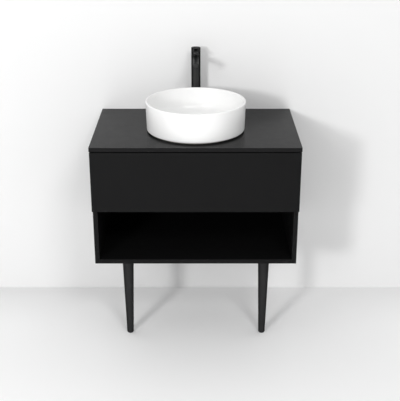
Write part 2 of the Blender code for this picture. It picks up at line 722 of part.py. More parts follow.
def build_tap_column():
    """The column with its chamber and waterways, the foot ring, the spout and its aerator."""
    place = (0, TAP_Y, 0)
    ring_low, ring_high = TOP_Z + FIT, TOP_Z + FIT + FOOT_RING_THICK
    ring = tube_profile(TAP_R + FOOT_RING_WIDTH, SHANK_R + FIT, ring_low, ring_high)
    turned("tap_foot_ring", ring, place, "black_metal")
    bore_r = TAP_R - COLUMN_WALL
    edge = 0.0004
    chamber_r = CARTRIDGE_R + FIT
    column = [
        (bore_r, COLUMN_FOOT_Z + SHANK_SOCKET),
        (SHANK_R + FIT, COLUMN_FOOT_Z + SHANK_SOCKET),
        (SHANK_R + FIT, COLUMN_FOOT_Z),
        (TAP_R - edge, COLUMN_FOOT_Z),
        (TAP_R, COLUMN_FOOT_Z + edge),
        (TAP_R, COLUMN_TOP_Z - edge),
        (TAP_R - edge, COLUMN_TOP_Z),
        (chamber_r, COLUMN_TOP_Z),
        (chamber_r, COLUMN_TOP_Z - CHAMBER_DEPTH),
        (bore_r, COLUMN_TOP_Z - CHAMBER_DEPTH),
    ]
    body = turned("tap_body", column, place, "black_metal")
    drill(body, SPOUT_PORT_R, (0, TAP_Y, SPOUT_Z), -TAP_R * 1.5, 0, axis="Y")

    end_edge = 0.0012
    spout_bore_r = SPOUT_R - SPOUT_WALL
    bore_end = SPOUT_REACH - SPOUT_WALL
    spout_shape = [
        (0, 0.008),
        (SPOUT_R, 0.008),
        (SPOUT_R, SPOUT_REACH - end_edge),
        (SPOUT_R - end_edge, SPOUT_REACH),
        (0, SPOUT_REACH),
    ]
    forward = Matrix.Rotation(math.pi / 2, 4, "X")
    spout_place = (0, TAP_Y, SPOUT_Z)
    spout = turned("tap_spout", spout_shape, spout_place, "black_metal", turn=forward)
    saddle = [(0, -0.02), (TAP_R + FIT, -0.02), (TAP_R + FIT, 0.02), (0, 0.02)]
    cut(spout, turned("spout_saddle", saddle, spout_place, "rubber", ROUND * 2))
    drill(spout, spout_bore_r, spout_place, -bore_end, 0, axis="Y", sides=24)
    aerator_place = (0, TAP_Y - SPOUT_REACH + AERATOR_FROM_END, SPOUT_Z)
    drill(spout, AERATOR_R + FIT, aerator_place, -SPOUT_R * 2, 0, sides=24)

    aerator_low = -SPOUT_R - AERATOR_PROUD
    mesh_up = 0.002
    aerator = [
        (0, aerator_low + mesh_up),
        (AERATOR_R - 0.0015, aerator_low + mesh_up),
        (AERATOR_R - 0.0015, aerator_low),
        (AERATOR_R, aerator_low),
        (AERATOR_R, -spout_bore_r * 0.4),
        (0, -spout_bore_r * 0.4),
    ]
    turned("tap_aerator", aerator, aerator_place, "black_metal", 24)


def build_tap_cartridge():
    """The ceramic cartridge in the column's chamber, and the nut that holds it down."""
    place = (0, TAP_Y, 0)
    low = COLUMN_TOP_Z - CHAMBER_DEPTH + FIT
    stem_r = 0.0035
    tipped = math.radians(LEVER_LIFT_DEG)
    heel_low = math.cos(tipped) * LEVER_THICK / 2 + math.sin(tipped) * LEVER_HEEL
    stem_top = LEVER_Z - heel_low - FIT
    shoulder = stem_top - CARTRIDGE_STEM
    cartridge = [
        (0, low),
        (CARTRIDGE_R, low),
        (CARTRIDGE_R, shoulder),
        (stem_r, shoulder),
        (stem_r, stem_top),
        (0, stem_top),
    ]
    turned("tap_cartridge", cartridge, place, "white_plastic", 24)
    ring_r = CARTRIDGE_R + FIT
    lid = 0.0015
    nut = [
        (ring_r, COLUMN_TOP_Z + FIT),
        (CARTRIDGE_NUT_R, COLUMN_TOP_Z + FIT),
        (CARTRIDGE_NUT_R, shoulder + FIT + lid),
        (stem_r + 0.003, shoulder + FIT + lid),
        (stem_r + 0.003, shoulder + FIT),
        (ring_r, shoulder + FIT),
    ]
    turned("cartridge_nut", nut, place, "brass", 24)


def build_tap_handle():
    """The cap that turns on the column, and the lever that tips in its slot on a cross pin."""
    turn_axis = pivot("handle_turn", (0, TAP_Y, CAP_UNDER_Z))
    tip_axis = pivot("handle_tip", (0, LEVER_PIVOT_Y, LEVER_Z))
    cap_place = (0, TAP_Y, CAP_UNDER_Z)
    edge = 0.0008
    hollow_r = TAP_R - CAP_WALL
    cap_shape = [
        (0, CAP_HEIGHT - CAP_LID),
        (hollow_r, CAP_HEIGHT - CAP_LID),
        (hollow_r, 0),
        (TAP_R - edge / 2, 0),
        (TAP_R, edge / 2),
        (TAP_R, CAP_HEIGHT - edge),
        (TAP_R - edge, CAP_HEIGHT),
        (0, CAP_HEIGHT),
    ]
    cap = turned("handle_cap", cap_shape, cap_place, "black_metal", parent=turn_axis)
    rise = math.radians(LEVER_LIFT_DEG)
    half_thick = LEVER_THICK / 2
    slot_half = LEVER_WIDTH / 2 + 0.0005
    slot_low = LEVER_Z - half_thick - 0.0008
    reach = TAP_R - LEVER_PIVOT_FORWARD
    lifted = LEVER_Z + reach * math.tan(rise) + half_thick / math.cos(rise)
    slot_high = lifted + 0.0006
    slot = box(
        "lever_slot",
        (-slot_half, slot_half),
        (TAP_Y - TAP_R * 1.5, TAP_Y),
        (slot_low, slot_high),
        "rubber",
    )
    cut(cap, slot)
    pin_hole_r = LEVER_PIN_R + RUNNING_GAP
    inner_half = math.sqrt(hollow_r**2 - LEVER_PIVOT_FORWARD**2)
    outer_half = math.sqrt(TAP_R**2 - LEVER_PIVOT_FORWARD**2)
    pin_half = inner_half + (outer_half - inner_half) * 0.55
    pin_place = (0, LEVER_PIVOT_Y, LEVER_Z)
    hole_half = pin_half + FIT
    drill(cap, pin_hole_r, pin_place, -hole_half, hole_half, axis="X", sides=12)

    pin_shape = [(0, -pin_half), (LEVER_PIN_R, -pin_half), (LEVER_PIN_R, pin_half), (0, pin_half)]
    across = Matrix.Rotation(math.pi / 2, 4, "Y")
    turned("lever_pin", pin_shape, pin_place, "zinc_steel", 12, turn_axis, across)

    half_wide = LEVER_WIDTH / 2
    tip_thick = half_thick * 0.78
    side_view = [
        (TAP_Y - LEVER_REACH + 0.001, LEVER_Z - tip_thick + 0.001),
        (LEVER_PIVOT_Y + LEVER_HEEL, LEVER_Z - half_thick),
        (LEVER_PIVOT_Y + LEVER_HEEL, LEVER_Z + half_thick),
        (TAP_Y - TAP_R, LEVER_Z + half_thick),
        (TAP_Y - LEVER_REACH + 0.001, LEVER_Z + tip_thick),
        (TAP_Y - LEVER_REACH, LEVER_Z + tip_thick - 0.001),
        (TAP_Y - LEVER_REACH, LEVER_Z - tip_thick + 0.002),
    ]
    spans = ("X", -half_wide, half_wide)
    lever = prism("handle_lever", side_view, spans, "black_metal", tip_axis)
    drill(lever, pin_hole_r, pin_place, -half_wide * 2, half_wide * 2, axis="X", sides=12)


def build_tap_fixing():
    """What holds the tap under the worktop: shank, washers, nut, and the two threaded hose inlets."""
    place = (0, TAP_Y, 0)
    shank = tube_profile(SHANK_R, SHANK_BORE_R, TOP_Z - SHANK_BELOW, SHANK_TOP_Z)
    turned("tap_shank", shank, place, "brass")
    ring_r = SHANK_R + FIT
    washer_r = SHANK_R + 0.009
    top = WORKTOP_UNDER_Z - FIT
    for name, thick, look in (
        ("tap_rubber_washer", WASHER_THICK, "rubber"),
        ("tap_steel_washer", WASHER_THICK / 2, "zinc_steel"),
    ):
        turned(name, tube_profile(washer_r, ring_r, top - thick, top), place, look)
        top -= thick + FIT
    hex_nut("tap_nut", washer_r, ring_r, place, top - NUT_HEIGHT, top, "brass")
    for side, sign in both_sides():
        inlet = tube_profile(INLET_R, INLET_R - INLET_WALL, TOP_Z - INLET_BELOW, SHANK_TOP_Z)
        x = sign * (INLET_R + INLET_APART / 2)
        turned("hose_inlet_" + side, inlet, (x, TAP_Y, 0), "brass", SMALL_ROUND)


# ---------------------------------------------------------------- drawer and runners


def build_drawer():
    """The front and a box with a bay in its back that clears the trap."""
    slide = pivot("drawer_slide", (0, FRONT_Y, DRAWER_FRONT_BOTTOM_Z))
    front_half = WIDTH / 2 - FRONT_INSET
    box(
        "drawer_front",
        (-front_half, front_half),
        (FRONT_Y, FRONT_Y + FRONT_THICK),
        (DRAWER_FRONT_BOTTOM_Z, DRAWER_FRONT_TOP_Z),
        "black_lacquer",
        slide,
    )
    box_z = (DRAWER_BOX_Z, DRAWER_BOX_TOP_Z)
    box_y = (DRAWER_BOX_FRONT_Y, DRAWER_BOX_BACK_Y)
    wall = DRAWER_SIDE_THICK
    above_bottom = (DRAWER_BOTTOM_Z + DRAWER_BOTTOM_THICK + FIT, DRAWER_BOX_TOP_Z)
    back_y = (DRAWER_BOX_BACK_Y - wall, DRAWER_BOX_BACK_Y)
    bay_wall = TRAP_BAY_HALF + wall
    for side, sign in both_sides():
        x = span(sign, DRAWER_INNER_HALF, DRAWER_HALF)
        box("drawer_side_" + side, x, box_y, box_z, "drawer_board", slide)
        x = span(sign, TRAP_BAY_HALF, DRAWER_INNER_HALF - FIT)
        box("drawer_back_" + side, x, back_y, above_bottom, "drawer_board", slide)
        x = span(sign, TRAP_BAY_HALF, bay_wall)
        y = (TRAP_BAY_Y + FIT, back_y[0] - FIT)
        box("trap_bay_" + side, x, y, above_bottom, "drawer_board", slide)
    bay_front_y = (TRAP_BAY_Y - wall, TRAP_BAY_Y)
    box("trap_bay_front", (-bay_wall, bay_wall), bay_front_y, above_bottom, "drawer_board", slide)

    edge = DRAWER_INNER_HALF - FIT
    outline = [
        (-edge, box_y[0]),
        (edge, box_y[0]),
        (edge, box_y[1]),
        (TRAP_BAY_HALF, box_y[1]),
        (TRAP_BAY_HALF, TRAP_BAY_Y),
        (-TRAP_BAY_HALF, TRAP_BAY_Y),
        (-TRAP_BAY_HALF, box_y[1]),
        (-edge, box_y[1]),
    ]
    spans = ("Z", DRAWER_BOTTOM_Z, DRAWER_BOTTOM_Z + DRAWER_BOTTOM_THICK)
    prism("drawer_bottom", outline, spans, "drawer_board", slide)
    return slide


def channel(sign, web_x, edge_x, half):
    """Cross-section of one runner member: a web at web_x and two flanges that reach to edge_x, half tall each way."""
    middle_z = MIDDLE_TOP_Z + RUNNER_ABOVE_PANEL + RUNNER_HEIGHT / 2
    inward = math.copysign(RUNNER_SHEET, edge_x - web_x)
    inner = half - RUNNER_SHEET
    points = [
        (web_x, -half),
        (edge_x, -half),
        (edge_x, -inner),
        (web_x + inward, -inner),
        (web_x + inward, inner),
        (edge_x, inner),
        (edge_x, half),
        (web_x, half),
    ]
    return [(sign * x, middle_z + z) for x, z in points]


def build_runners(slide):
    """Ball-bearing runners: an outer member on the carcass, a middle one at half travel, an inner one on the drawer."""
    start = CARCASS_FRONT_Y + RUNNER_SETBACK
    along = ("Y", start, DRAWER_BOX_BACK_Y - RUNNER_END_GAP)
    step = RUNNER_SHEET + RUNNER_BALL_GAP
    outer_half = RUNNER_HEIGHT / 2
    outer_web = INNER_HALF - FIT
    inner_web = DRAWER_HALF + FIT
    middle_web = outer_web - RUNNER_SHEET * 2
    flange_edge = inner_web + RUNNER_SHEET + RUNNER_SHEET / 2
    for side, sign in both_sides():
        outer = channel(sign, outer_web, flange_edge, outer_half)
        prism("runner_outer_" + side, outer, along, "zinc_steel")
        middle_place = (sign * middle_web, start, MIDDLE_TOP_Z + RUNNER_ABOVE_PANEL)
        middle_slide = pivot("runner_middle_slide_" + side, middle_place)
        middle = channel(sign, middle_web, flange_edge, outer_half - step)
        prism("runner_middle_" + side, middle, along, "zinc_steel", middle_slide)
        inner = channel(sign, inner_web, middle_web - RUNNER_SHEET * 1.5, outer_half - 2 * step)
        prism("runner_inner_" + side, inner, along, "zinc_steel", slide)


def clear_scene():
    """Removes whatever the file already holds."""
    for obj in list(bpy.data.objects):
        bpy.data.objects.remove(obj)


def main():
    """Builds every piece of the vanity."""
    clear_scene()
    build_worktop()
    build_carcass()
    build_wall_hanging()
    build_legs()
    build_basin()
    build_waste()
    build_trap()
    build_tap_column()
    build_tap_cartridge()
    build_tap_handle()
    build_tap_fixing()
    build_runners(build_drawer())


main()
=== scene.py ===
"""The looks of a black vanity with a white round basin and a tall tap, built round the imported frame.

Metres, +Z up. Y = 0 is midway from the worktop's front edge, at -Y, to the wall plane, at +Y. Left is -X.
"""

import json
import logging
import math
from collections.abc import Callable, Sequence
from dataclasses import dataclass, field
from enum import Enum

import bmesh
import bpy
from mathutils import Matrix, Vector

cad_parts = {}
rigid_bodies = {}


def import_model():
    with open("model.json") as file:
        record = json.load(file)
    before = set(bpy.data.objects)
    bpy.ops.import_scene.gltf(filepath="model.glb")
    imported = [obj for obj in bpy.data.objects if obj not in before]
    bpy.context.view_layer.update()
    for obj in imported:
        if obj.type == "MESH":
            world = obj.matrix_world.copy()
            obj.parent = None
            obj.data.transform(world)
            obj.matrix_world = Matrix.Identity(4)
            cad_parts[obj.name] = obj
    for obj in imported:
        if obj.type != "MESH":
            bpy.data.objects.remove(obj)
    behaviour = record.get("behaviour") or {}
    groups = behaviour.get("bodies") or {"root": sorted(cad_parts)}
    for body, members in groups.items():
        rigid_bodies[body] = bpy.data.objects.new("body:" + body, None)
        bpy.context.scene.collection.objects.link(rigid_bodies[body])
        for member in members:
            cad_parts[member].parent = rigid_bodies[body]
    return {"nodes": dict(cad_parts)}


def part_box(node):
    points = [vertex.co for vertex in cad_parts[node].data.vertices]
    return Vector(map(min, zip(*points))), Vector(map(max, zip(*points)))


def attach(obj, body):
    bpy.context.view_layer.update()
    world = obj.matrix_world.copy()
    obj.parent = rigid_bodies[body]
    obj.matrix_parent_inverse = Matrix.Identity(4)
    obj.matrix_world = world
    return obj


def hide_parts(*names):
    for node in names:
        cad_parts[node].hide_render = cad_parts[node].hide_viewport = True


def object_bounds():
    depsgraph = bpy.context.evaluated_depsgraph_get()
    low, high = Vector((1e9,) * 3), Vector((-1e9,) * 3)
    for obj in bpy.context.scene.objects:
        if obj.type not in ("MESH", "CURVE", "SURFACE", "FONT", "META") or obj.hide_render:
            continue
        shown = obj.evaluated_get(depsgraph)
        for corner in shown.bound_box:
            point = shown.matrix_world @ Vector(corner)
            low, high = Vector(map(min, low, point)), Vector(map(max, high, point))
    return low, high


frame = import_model()
CAD_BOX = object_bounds()

LOG = logging.getLogger("vanity")
Pair = tuple[float, float]
Triple = tuple[float, float, float]
Corner = Pair | Triple  # a point of an outline and, if it is rounded, its radius
Swell = Callable[[float, float, float], Pair]
Shape = bmesh.types.BMesh
Socket = bpy.types.NodeSocket


class Axis(Enum):
    """Which way a turned piece's axis runs. The value turns +Z that way."""

    UP = Matrix.Identity(4)
    BACK = Matrix.Rotation(-math.pi / 2, 4, "X")
    FRONT = Matrix.Rotation(math.pi / 2, 4, "X")


class Side(Enum):
    """A side of the vanity. The value is its sign along X."""

    LEFT = -1
    RIGHT = 1

    @property
    def word(self) -> str:
        """The side as the frame's names end."""
        return self.name.lower()


# ---------------------------------------------------------------- node trees


class Tree:
    """A node tree, with short ways to add to it."""

    def __init__(self, tree: bpy.types.NodeTree) -> None:
        """Takes the tree that the nodes go in."""
        self.tree = tree

    def feed(self, socket: Socket, value: object) -> None:
        """Links value to the socket if it is an output, or else sets it."""
        if isinstance(value, Socket):
            self.tree.links.new(value, socket)
        else:
            socket.default_value = value

    def add(self, kind: str, **values: object) -> bpy.types.Node:
        """Adds a node.

        Args:
            kind: the node's type name.
            values: its properties, or its inputs with spaces as underscores.

        Returns:
            The node.
        """
        node = self.tree.nodes.new(kind)
        for key, value in values.items():
            if hasattr(node, key):
                setattr(node, key, value)
            else:
                self.feed(node.inputs[key.replace("_", " ")], value)
        return node

    def math(self, operation: str, *values: object) -> Socket:
        """Adds a math node that works on the values, and gives its result."""
        node = self.add("ShaderNodeMath", operation=operation)
        for socket, value in zip(node.inputs, values):
            self.feed(socket, value)
        return node.outputs[0]


class NodeSheet(Tree):
    """A material's node tree, with what the finishes share."""

    def __init__(self, name: str) -> None:
        """Starts a material of that name with a Principled shader."""
        self.material = bpy.data.materials.new(name)
        self.material.use_nodes = True
        super().__init__(self.material.node_tree)
        self.shader = self.tree.nodes["Principled BSDF"]
        self.place = self.add("ShaderNodeTexCoord").outputs["Object"]

    def stretched(self, scale: Triple) -> Socket:
        """The object coordinates times a scale on each axis."""
        return self.add("ShaderNodeMapping", Vector=self.place, Scale=scale).outputs[0]

    def noise(self, scale: float, detail: float = 2.0, at: Socket | None = None) -> Socket:
        """A noise value.

        Args:
            scale: features per metre.
            detail: octaves.
            at: coordinates, or None for the object's own.

        Returns:
            The noise, from 0 to 1.
        """
        node = self.add("ShaderNodeTexNoise", Vector=at or self.place, Scale=scale, Detail=detail)
        return node.outputs["Fac"]

    def ranged(self, value: Socket, low: float, high: float, to: Pair) -> Socket:
        """Maps value from low..high on to the pair to, clamped."""
        node = self.add("ShaderNodeMapRange", Value=value)
        for socket, number in zip(node.inputs[1:5], (low, high, *to)):
            socket.default_value = number
        return node.outputs[0]

    def blend(self, factor: Socket, first: Triple | Socket, second: Triple | Socket) -> Socket:
        """Mixes two colours: the first at a factor of 0, the second at 1."""
        node = self.add("ShaderNodeMix", data_type="RGBA")
        self.feed(node.inputs["Factor"], factor)
        for socket, value in ((node.inputs[6], first), (node.inputs[7], second)):
            self.feed(socket, (*value, 1.0) if isinstance(value, tuple) else value)
        return node.outputs[2]

    def height(self) -> Socket:
        """The object's height as a number."""
        return self.add("ShaderNodeSeparateXYZ", Vector=self.place).outputs["Z"]

    def bump(self, *layers: tuple[Socket, float, float]) -> None:
        """Lays bumps over each other and gives them to the shader.

        Args:
            layers: each is a height value, a strength and a depth in metres.
        """
        normal = None
        for value, strength, depth in layers:
            node = self.add("ShaderNodeBump", Height=value, Strength=strength, Distance=depth)
            if normal:
                self.feed(node.inputs["Normal"], normal)
            normal = node.outputs[0]
        self.feed(self.shader.inputs["Normal"], normal)

    def set(self, **values: object) -> None:
        """Sets or links inputs of the shader, with spaces as underscores."""
        for key, value in values.items():
            self.feed(self.shader.inputs[key.replace("_", " ")], value)


# ---------------------------------------------------------------- finishes


@dataclass(frozen=True)
class Finish:
    """What all finishes have. Each kind adds its own surface in dress()."""

    name: str
    slot: str
    colour: Triple
    roughness: float

    @property
    def material(self) -> bpy.types.Material:
        """The finish as a material, made on first use."""
        found = bpy.data.materials.get(self.name)
        if found:
            return found
        sheet = NodeSheet(self.name)
        self.dress(sheet)
        return sheet.material

    def shade(self, amount: float) -> Triple:
        """The finish's colour made lighter or darker by a factor."""
        return tuple(min(1.0, channel * amount) for channel in self.colour)

    def rough(self, sheet: NodeSheet, value: Socket, less: float, more: float, edge: float = 0.3) -> Socket:
        """The roughness, which a value carries from less below its own figure to more above it."""
        return sheet.ranged(value, edge, 1 - edge, (self.roughness - less, self.roughness + more))

    def dress(self, sheet: NodeSheet) -> None:
        """Adds the surface's nodes to the sheet."""
        raise NotImplementedError


@dataclass(frozen=True)
class SatinBoard(Finish):
    """Board under a sprayed satin lacquer or a satin laminate, with a faint orange peel."""

    specular: float
    peel_per_metre: float = 420.0
    peel_depth: float = 0.00006
    mottle: float = 0.10

    def dress(self, sheet: NodeSheet) -> None:
        """Broad tone drift, a fine peel and a little settled dust."""
        drift = sheet.noise(3.5, 3.0)
        dust = sheet.ranged(sheet.noise(1500.0, 1.0), 0.68, 0.78, (0.0, 0.35))
        tone = sheet.blend(drift, self.shade(1 - self.mottle), self.shade(1 + self.mottle))
        sheet.set(
            Base_Color=sheet.blend(dust, tone, self.shade(1.8)),
            Roughness=self.rough(sheet, sheet.noise(28.0, 4.0), 0.03, 0.05),
            Specular_IOR_Level=self.specular,
        )
        peel = sheet.noise(self.peel_per_metre, 2.0)
        fine = sheet.noise(self.peel_per_metre * 6, 1.0)
        sheet.bump((peel, 0.35, self.peel_depth), (fine, 0.25, self.peel_depth / 4))


@dataclass(frozen=True)
class PaperFoil(Finish):
    """Dark foil-faced drawer board with short pores along its length."""

    pore_stretch: Triple = (900.0, 60.0, 900.0)

    def dress(self, sheet: NodeSheet) -> None:
        """Stretched pores that are darker and dip a little."""
        pores = sheet.noise(1.0, 3.0, sheet.stretched(self.pore_stretch))
        cut = sheet.ranged(pores, 0.56, 0.66, (0.0, 1.0))
        tone = sheet.blend(sheet.noise(5.0), self.shade(0.88), self.shade(1.14))
        sheet.set(
            Base_Color=sheet.blend(cut, tone, self.shade(0.55)),
            Roughness=self.rough(sheet, pores, 0.05, 0.08),
        )
        sheet.bump((sheet.ranged(cut, 0.0, 1.0, (1.0, 0.0)), 0.4, 0.00008))


@dataclass(frozen=True)
class GlazedCeramic(Finish):
    """White sanitary glaze, with a bare foot under it and a glaze that thins on the rim."""

    foot_height: float
    rim_height: float
    bare: Triple = (0.74, 0.71, 0.66)
    foot_blur: float = 0.0004
    rim_depth: float = 0.0022

    def dress(self, sheet: NodeSheet) -> None:
        """Glaze above the foot, bare fired clay under it."""
        up = sheet.height()
        low, high = self.foot_height - self.foot_blur, self.foot_height + self.foot_blur
        glazed = sheet.ranged(up, low, high, (0.0, 1.0))
        rim = sheet.ranged(up, self.rim_height - self.rim_depth, self.rim_height, (0.0, 0.5))
        glaze = sheet.blend(sheet.noise(9.0), self.shade(0.985), self.shade(1.01))
        glaze = sheet.blend(rim, glaze, self.shade(0.975))
        clay = sheet.blend(sheet.noise(700.0, 3.0), tuple(c * 0.86 for c in self.bare), self.bare)
        sheet.set(
            Base_Color=sheet.blend(glazed, clay, glaze),
            Roughness=sheet.ranged(glazed, 0.0, 1.0, (0.75, self.roughness)),
            Coat_Weight=0.2,
            Coat_Roughness=0.16,
        )
        wave, pit = sheet.noise(11.0, 1.0), sheet.noise(320.0, 1.0)
        sheet.bump((wave, 0.12, 0.0006), (pit, 0.06, 0.00003))


@dataclass(frozen=True)
class PowderCoat(Finish):
    """Matt black coating on metal, with the fine grain of fused powder."""

    specular: float
    glancing_specular: float = 0.018
    grain_per_metre: float = 2600.0
    grain_depth: float = 0.00004

    def dress(self, sheet: NodeSheet) -> None:
        """A fine grain in tone, gloss and height, painted glints on the grain's specks, and less shine at a
        glancing angle.
        """
        facing = sheet.add("ShaderNodeLayerWeight", Blend=0.5).outputs["Facing"]
        grain = sheet.noise(self.grain_per_metre)
        tone = sheet.blend(sheet.noise(22.0), self.shade(0.85), self.shade(1.15))
        # painted highlight: the grain's specks are made up to twice as light in the base colour, as glints
        painted_glint = sheet.ranged(grain, 0.62, 0.75, (0.0, 0.4))
        sheet.set(
            Base_Color=sheet.blend(painted_glint, tone, self.shade(2.0)),
            Roughness=self.rough(sheet, grain, -0.05, -0.05),
            Specular_IOR_Level=sheet.ranged(facing, 0.14, 0.38, (self.specular, self.glancing_specular)),
        )
        sheet.bump((grain, 0.3, self.grain_depth))


@dataclass(frozen=True)
class PlatedSteel(Finish):
    """Rolled steel strip under bright zinc, drawn along one axis."""

    drawn: Triple = (60.0, 4.0, 600.0)

    def dress(self, sheet: NodeSheet) -> None:
        """Rolling streaks, and the faint patches of the plating."""
        streak = sheet.noise(1.0, 3.0, sheet.stretched(self.drawn))
        patch = sheet.add("ShaderNodeTexVoronoi", Vector=sheet.place, Scale=160.0)
        tint = sheet.ranged(patch.outputs["Color"], 0.0, 1.0, (0.35, 0.65))
        tone = sheet.blend(tint, self.shade(0.86), self.shade(1.08))
        sheet.set(
            Base_Color=sheet.blend(streak, tone, self.shade(0.94)),
            Metallic=1.0,
            Roughness=self.rough(sheet, streak, 0.08, 0.12, edge=0.25),
        )
        sheet.bump((streak, 0.2, 0.00004))


@dataclass(frozen=True)
class TurnedBrass(Finish):
    """Brass straight from the lathe, with its tool marks."""

    marks: Triple = (8.0, 8.0, 1400.0)

    def dress(self, sheet: NodeSheet) -> None:
        """Rings round the axis, and a little tarnish."""
        rings = sheet.noise(1.0, 2.0, sheet.stretched(self.marks))
        tarnish = sheet.ranged(sheet.noise(45.0, 3.0), 0.45, 0.75, (0.0, 0.6))
        sheet.set(
            Base_Color=sheet.blend(tarnish, self.colour, self.shade(0.6)),
            Metallic=1.0,
            Roughness=self.rough(sheet, rings, 0.08, 0.1),
        )
        sheet.bump((rings, 0.25, 0.00005))


@dataclass(frozen=True)
class Moulded(Finish):
    """Injection-moulded plastic or rubber with a fine spark-eroded texture."""

    texture_per_metre: float = 1100.0
    texture_depth: float = 0.00005

    def dress(self, sheet: NodeSheet) -> None:
        """Slight sink marks and the mould's texture."""
        skin, sink = sheet.noise(self.texture_per_metre), sheet.noise(30.0)
        sheet.set(
            Base_Color=sheet.blend(sink, self.shade(0.94), self.shade(1.04)),
            Roughness=self.rough(sheet, skin, 0.05, 0.07),
        )
        sheet.bump((sink, 0.1, 0.0003), (skin, 0.25, self.texture_depth))


BASIN_LOW, BASIN_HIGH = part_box("basin")
FOOT_RISE = 0.004

LAMINATE = SatinBoard("satin_black_laminate", "laminate", (0.0100, 0.0100, 0.0104), 0.22, 0.062)
LACQUER = SatinBoard("satin_black_lacquer", "lacquer", (0.0058, 0.0058, 0.006), 0.42, 0.1)
DRAWER_FOIL = PaperFoil("dark_drawer_foil", "drawer_board", (0.05, 0.05, 0.052), 0.5)
GLAZE = GlazedCeramic(
    "white_glaze", "ceramic", (0.88, 0.88, 0.875), 0.3, BASIN_LOW.z + FOOT_RISE, BASIN_HIGH.z
)
COATING = PowderCoat("matt_black_coating", "black_metal", (0.0062, 0.0062, 0.0065), 0.36, 0.5)
LEG_COATING = PowderCoat("satin_black_leg_coating", "lacquer", (0.0175, 0.0175, 0.018), 0.4, 0.2)
ZINC = PlatedSteel("bright_zinc", "zinc_steel", (0.62, 0.63, 0.65), 0.34)
BRASS = TurnedBrass("turned_brass", "brass", (0.72, 0.58, 0.32), 0.3)
RUBBER = Moulded("black_rubber", "rubber", (0.03, 0.03, 0.03), 0.8)
BLACK_PLASTIC = Moulded("black_plastic", "black_plastic", (0.025, 0.025, 0.026), 0.5)
WHITE_PLASTIC = Moulded("white_plastic", "white_plastic", (0.82, 0.82, 0.81), 0.36)


# ---------------------------------------------------------------- shaping tools

SHARP_DEG = 30.0  # edges sharper than this are rounded
EDGE_SHARE = 0.49  # an arc takes up no more than this share of an edge


def rounded(corners: Sequence[Corner], steps: int = 5, closed: bool = True) -> list[Pair]:
    """Replaces each corner that has a radius by an arc that touches both its edges.

    Args:
        corners: the outline's corners in order.
        steps: faces in each arc.
        closed: whether the last corner joins the first.

    Returns:
        The outline's points.
    """
    points: list[Pair] = []
    count = len(corners)
    for i, (a, b, *radii) in enumerate(corners):
        if not radii or (not closed and i in (0, count - 1)):
            points.append((a, b))
            continue
        here = Vector((a, b))
        back, on = (Vector(corners[j][:2]) - here for j in (i - 1, (i + 1) % count))
        half = back.angle(on) / 2
        reach = min(radii[0] / math.tan(half), back.length * EDGE_SHARE, on.length * EDGE_SHARE)
        back, on = back.normalized(), on.normalized()
        centre = here + (back + on).normalized() * (reach * math.tan(half) / math.sin(half))
        start, end = here + back * reach - centre, here + on * reach - centre
        turn = start.angle_signed(end)
        for step in range(steps + 1):
            points.append(tuple(centre + Matrix.Rotation(-turn * step / steps, 2) @ start))
    return points


def turned(
    outline: Sequence[Pair], place: Vector, sides: int, axis: Axis = Axis.UP, swell: Swell | None = None
) -> Shape:
    """Turns an outline of (radius, height) points round an axis.

    Args:
        outline: points that close on themselves, or that start and end on the axis.
        place: where the axis's origin is.
        sides: faces round the axis.
        axis: which way the axis runs.
        swell: gives (radius, height) from (angle, radius, height), for hexagons and threads.

    Returns:
        The closed shape, its faces outward.
    """
    bm = bmesh.new()
    rings: list[list[bmesh.types.BMVert]] = []
    for radius, height in outline:
        if radius < 1e-7:
            rings.append([bm.verts.new((0, 0, height))])
            continue
        ring = []
        for i in range(sides):
            angle = math.tau * i / sides
            r, z = swell(angle, radius, height) if swell else (radius, height)
            ring.append(bm.verts.new((r * math.cos(angle), r * math.sin(angle), z)))
        rings.append(ring)
    pairs = list(zip(rings, rings[1:]))
    if len(rings[0]) > 1:
        pairs.append((rings[-1], rings[0]))
    for first, second in pairs:
        for i in range(sides):
            j = (i + 1) % sides
            if len(first) == 1 and len(second) > 1:
                bm.faces.new((first[0], second[i], second[j]))
            elif len(second) == 1 and len(first) > 1:
                bm.faces.new((first[i], second[0], first[j]))
            elif len(first) > 1:
                bm.faces.new((first[i], second[i], second[j], first[j]))
    bmesh.ops.remove_doubles(bm, verts=bm.verts, dist=1e-6)
    bmesh.ops.transform(bm, matrix=Matrix.Translation(place) @ axis.value, verts=bm.verts)
    bmesh.ops.recalc_face_normals(bm, faces=bm.faces)
    return bm


def hexagonal(flats: float, chamfer: float) -> Swell:
    """A swell that makes the outermost points of a turned nut a hexagon.

    Args:
        flats: half of the width across flats.
        chamfer: how far the corners are cut back below a full hexagon's radius.

    Returns:
        The swell, which only touches points at radius flats or more.
    """

    def swell(angle: float, radius: float, height: float) -> Pair:
        """Pushes a point at the flats' radius out to the hexagon."""
        if radius < flats - 1e-6:
            return radius, height
        off = (angle + math.pi / 6) % (math.pi / 3) - math.pi / 6
        return min(flats / math.cos(off), flats / math.cos(math.pi / 6) - chamfer), height

    return swell


def threaded(crest: float, depth: float, pitch: float) -> Swell:
    """A swell that cuts a helical thread into the points at the crest radius.

    Args:
        crest: the thread's outer radius.
        depth: crest to root.
        pitch: rise of one turn.

    Returns:
        The swell.
    """

    def swell(angle: float, radius: float, height: float) -> Pair:
        """Moves a point in by its place on the thread."""
        if abs(radius - crest) > 1e-6:
            return radius, height
        phase = (height / pitch - angle / math.tau) % 1.0
        return crest - depth * abs(2 * phase - 1), height

    return swell


def thread_points(radius: float, low: float, high: float, pitch: float) -> list[Pair]:
    """Points up a straight stretch from low to high, six to a pitch, for a thread's swell."""
    count = max(2, round((high - low) / pitch * 6))
    return [(radius, low + (high - low) * i / count) for i in range(count + 1)]


def box_corners(low: Pair, high: Pair, radius: float) -> list[Corner]:
    """The corners of a rectangle, each with the same radius."""
    (a, b), (c, d) = low, high
    return [(a, b, radius), (c, b, radius), (c, d, radius), (a, d, radius)]


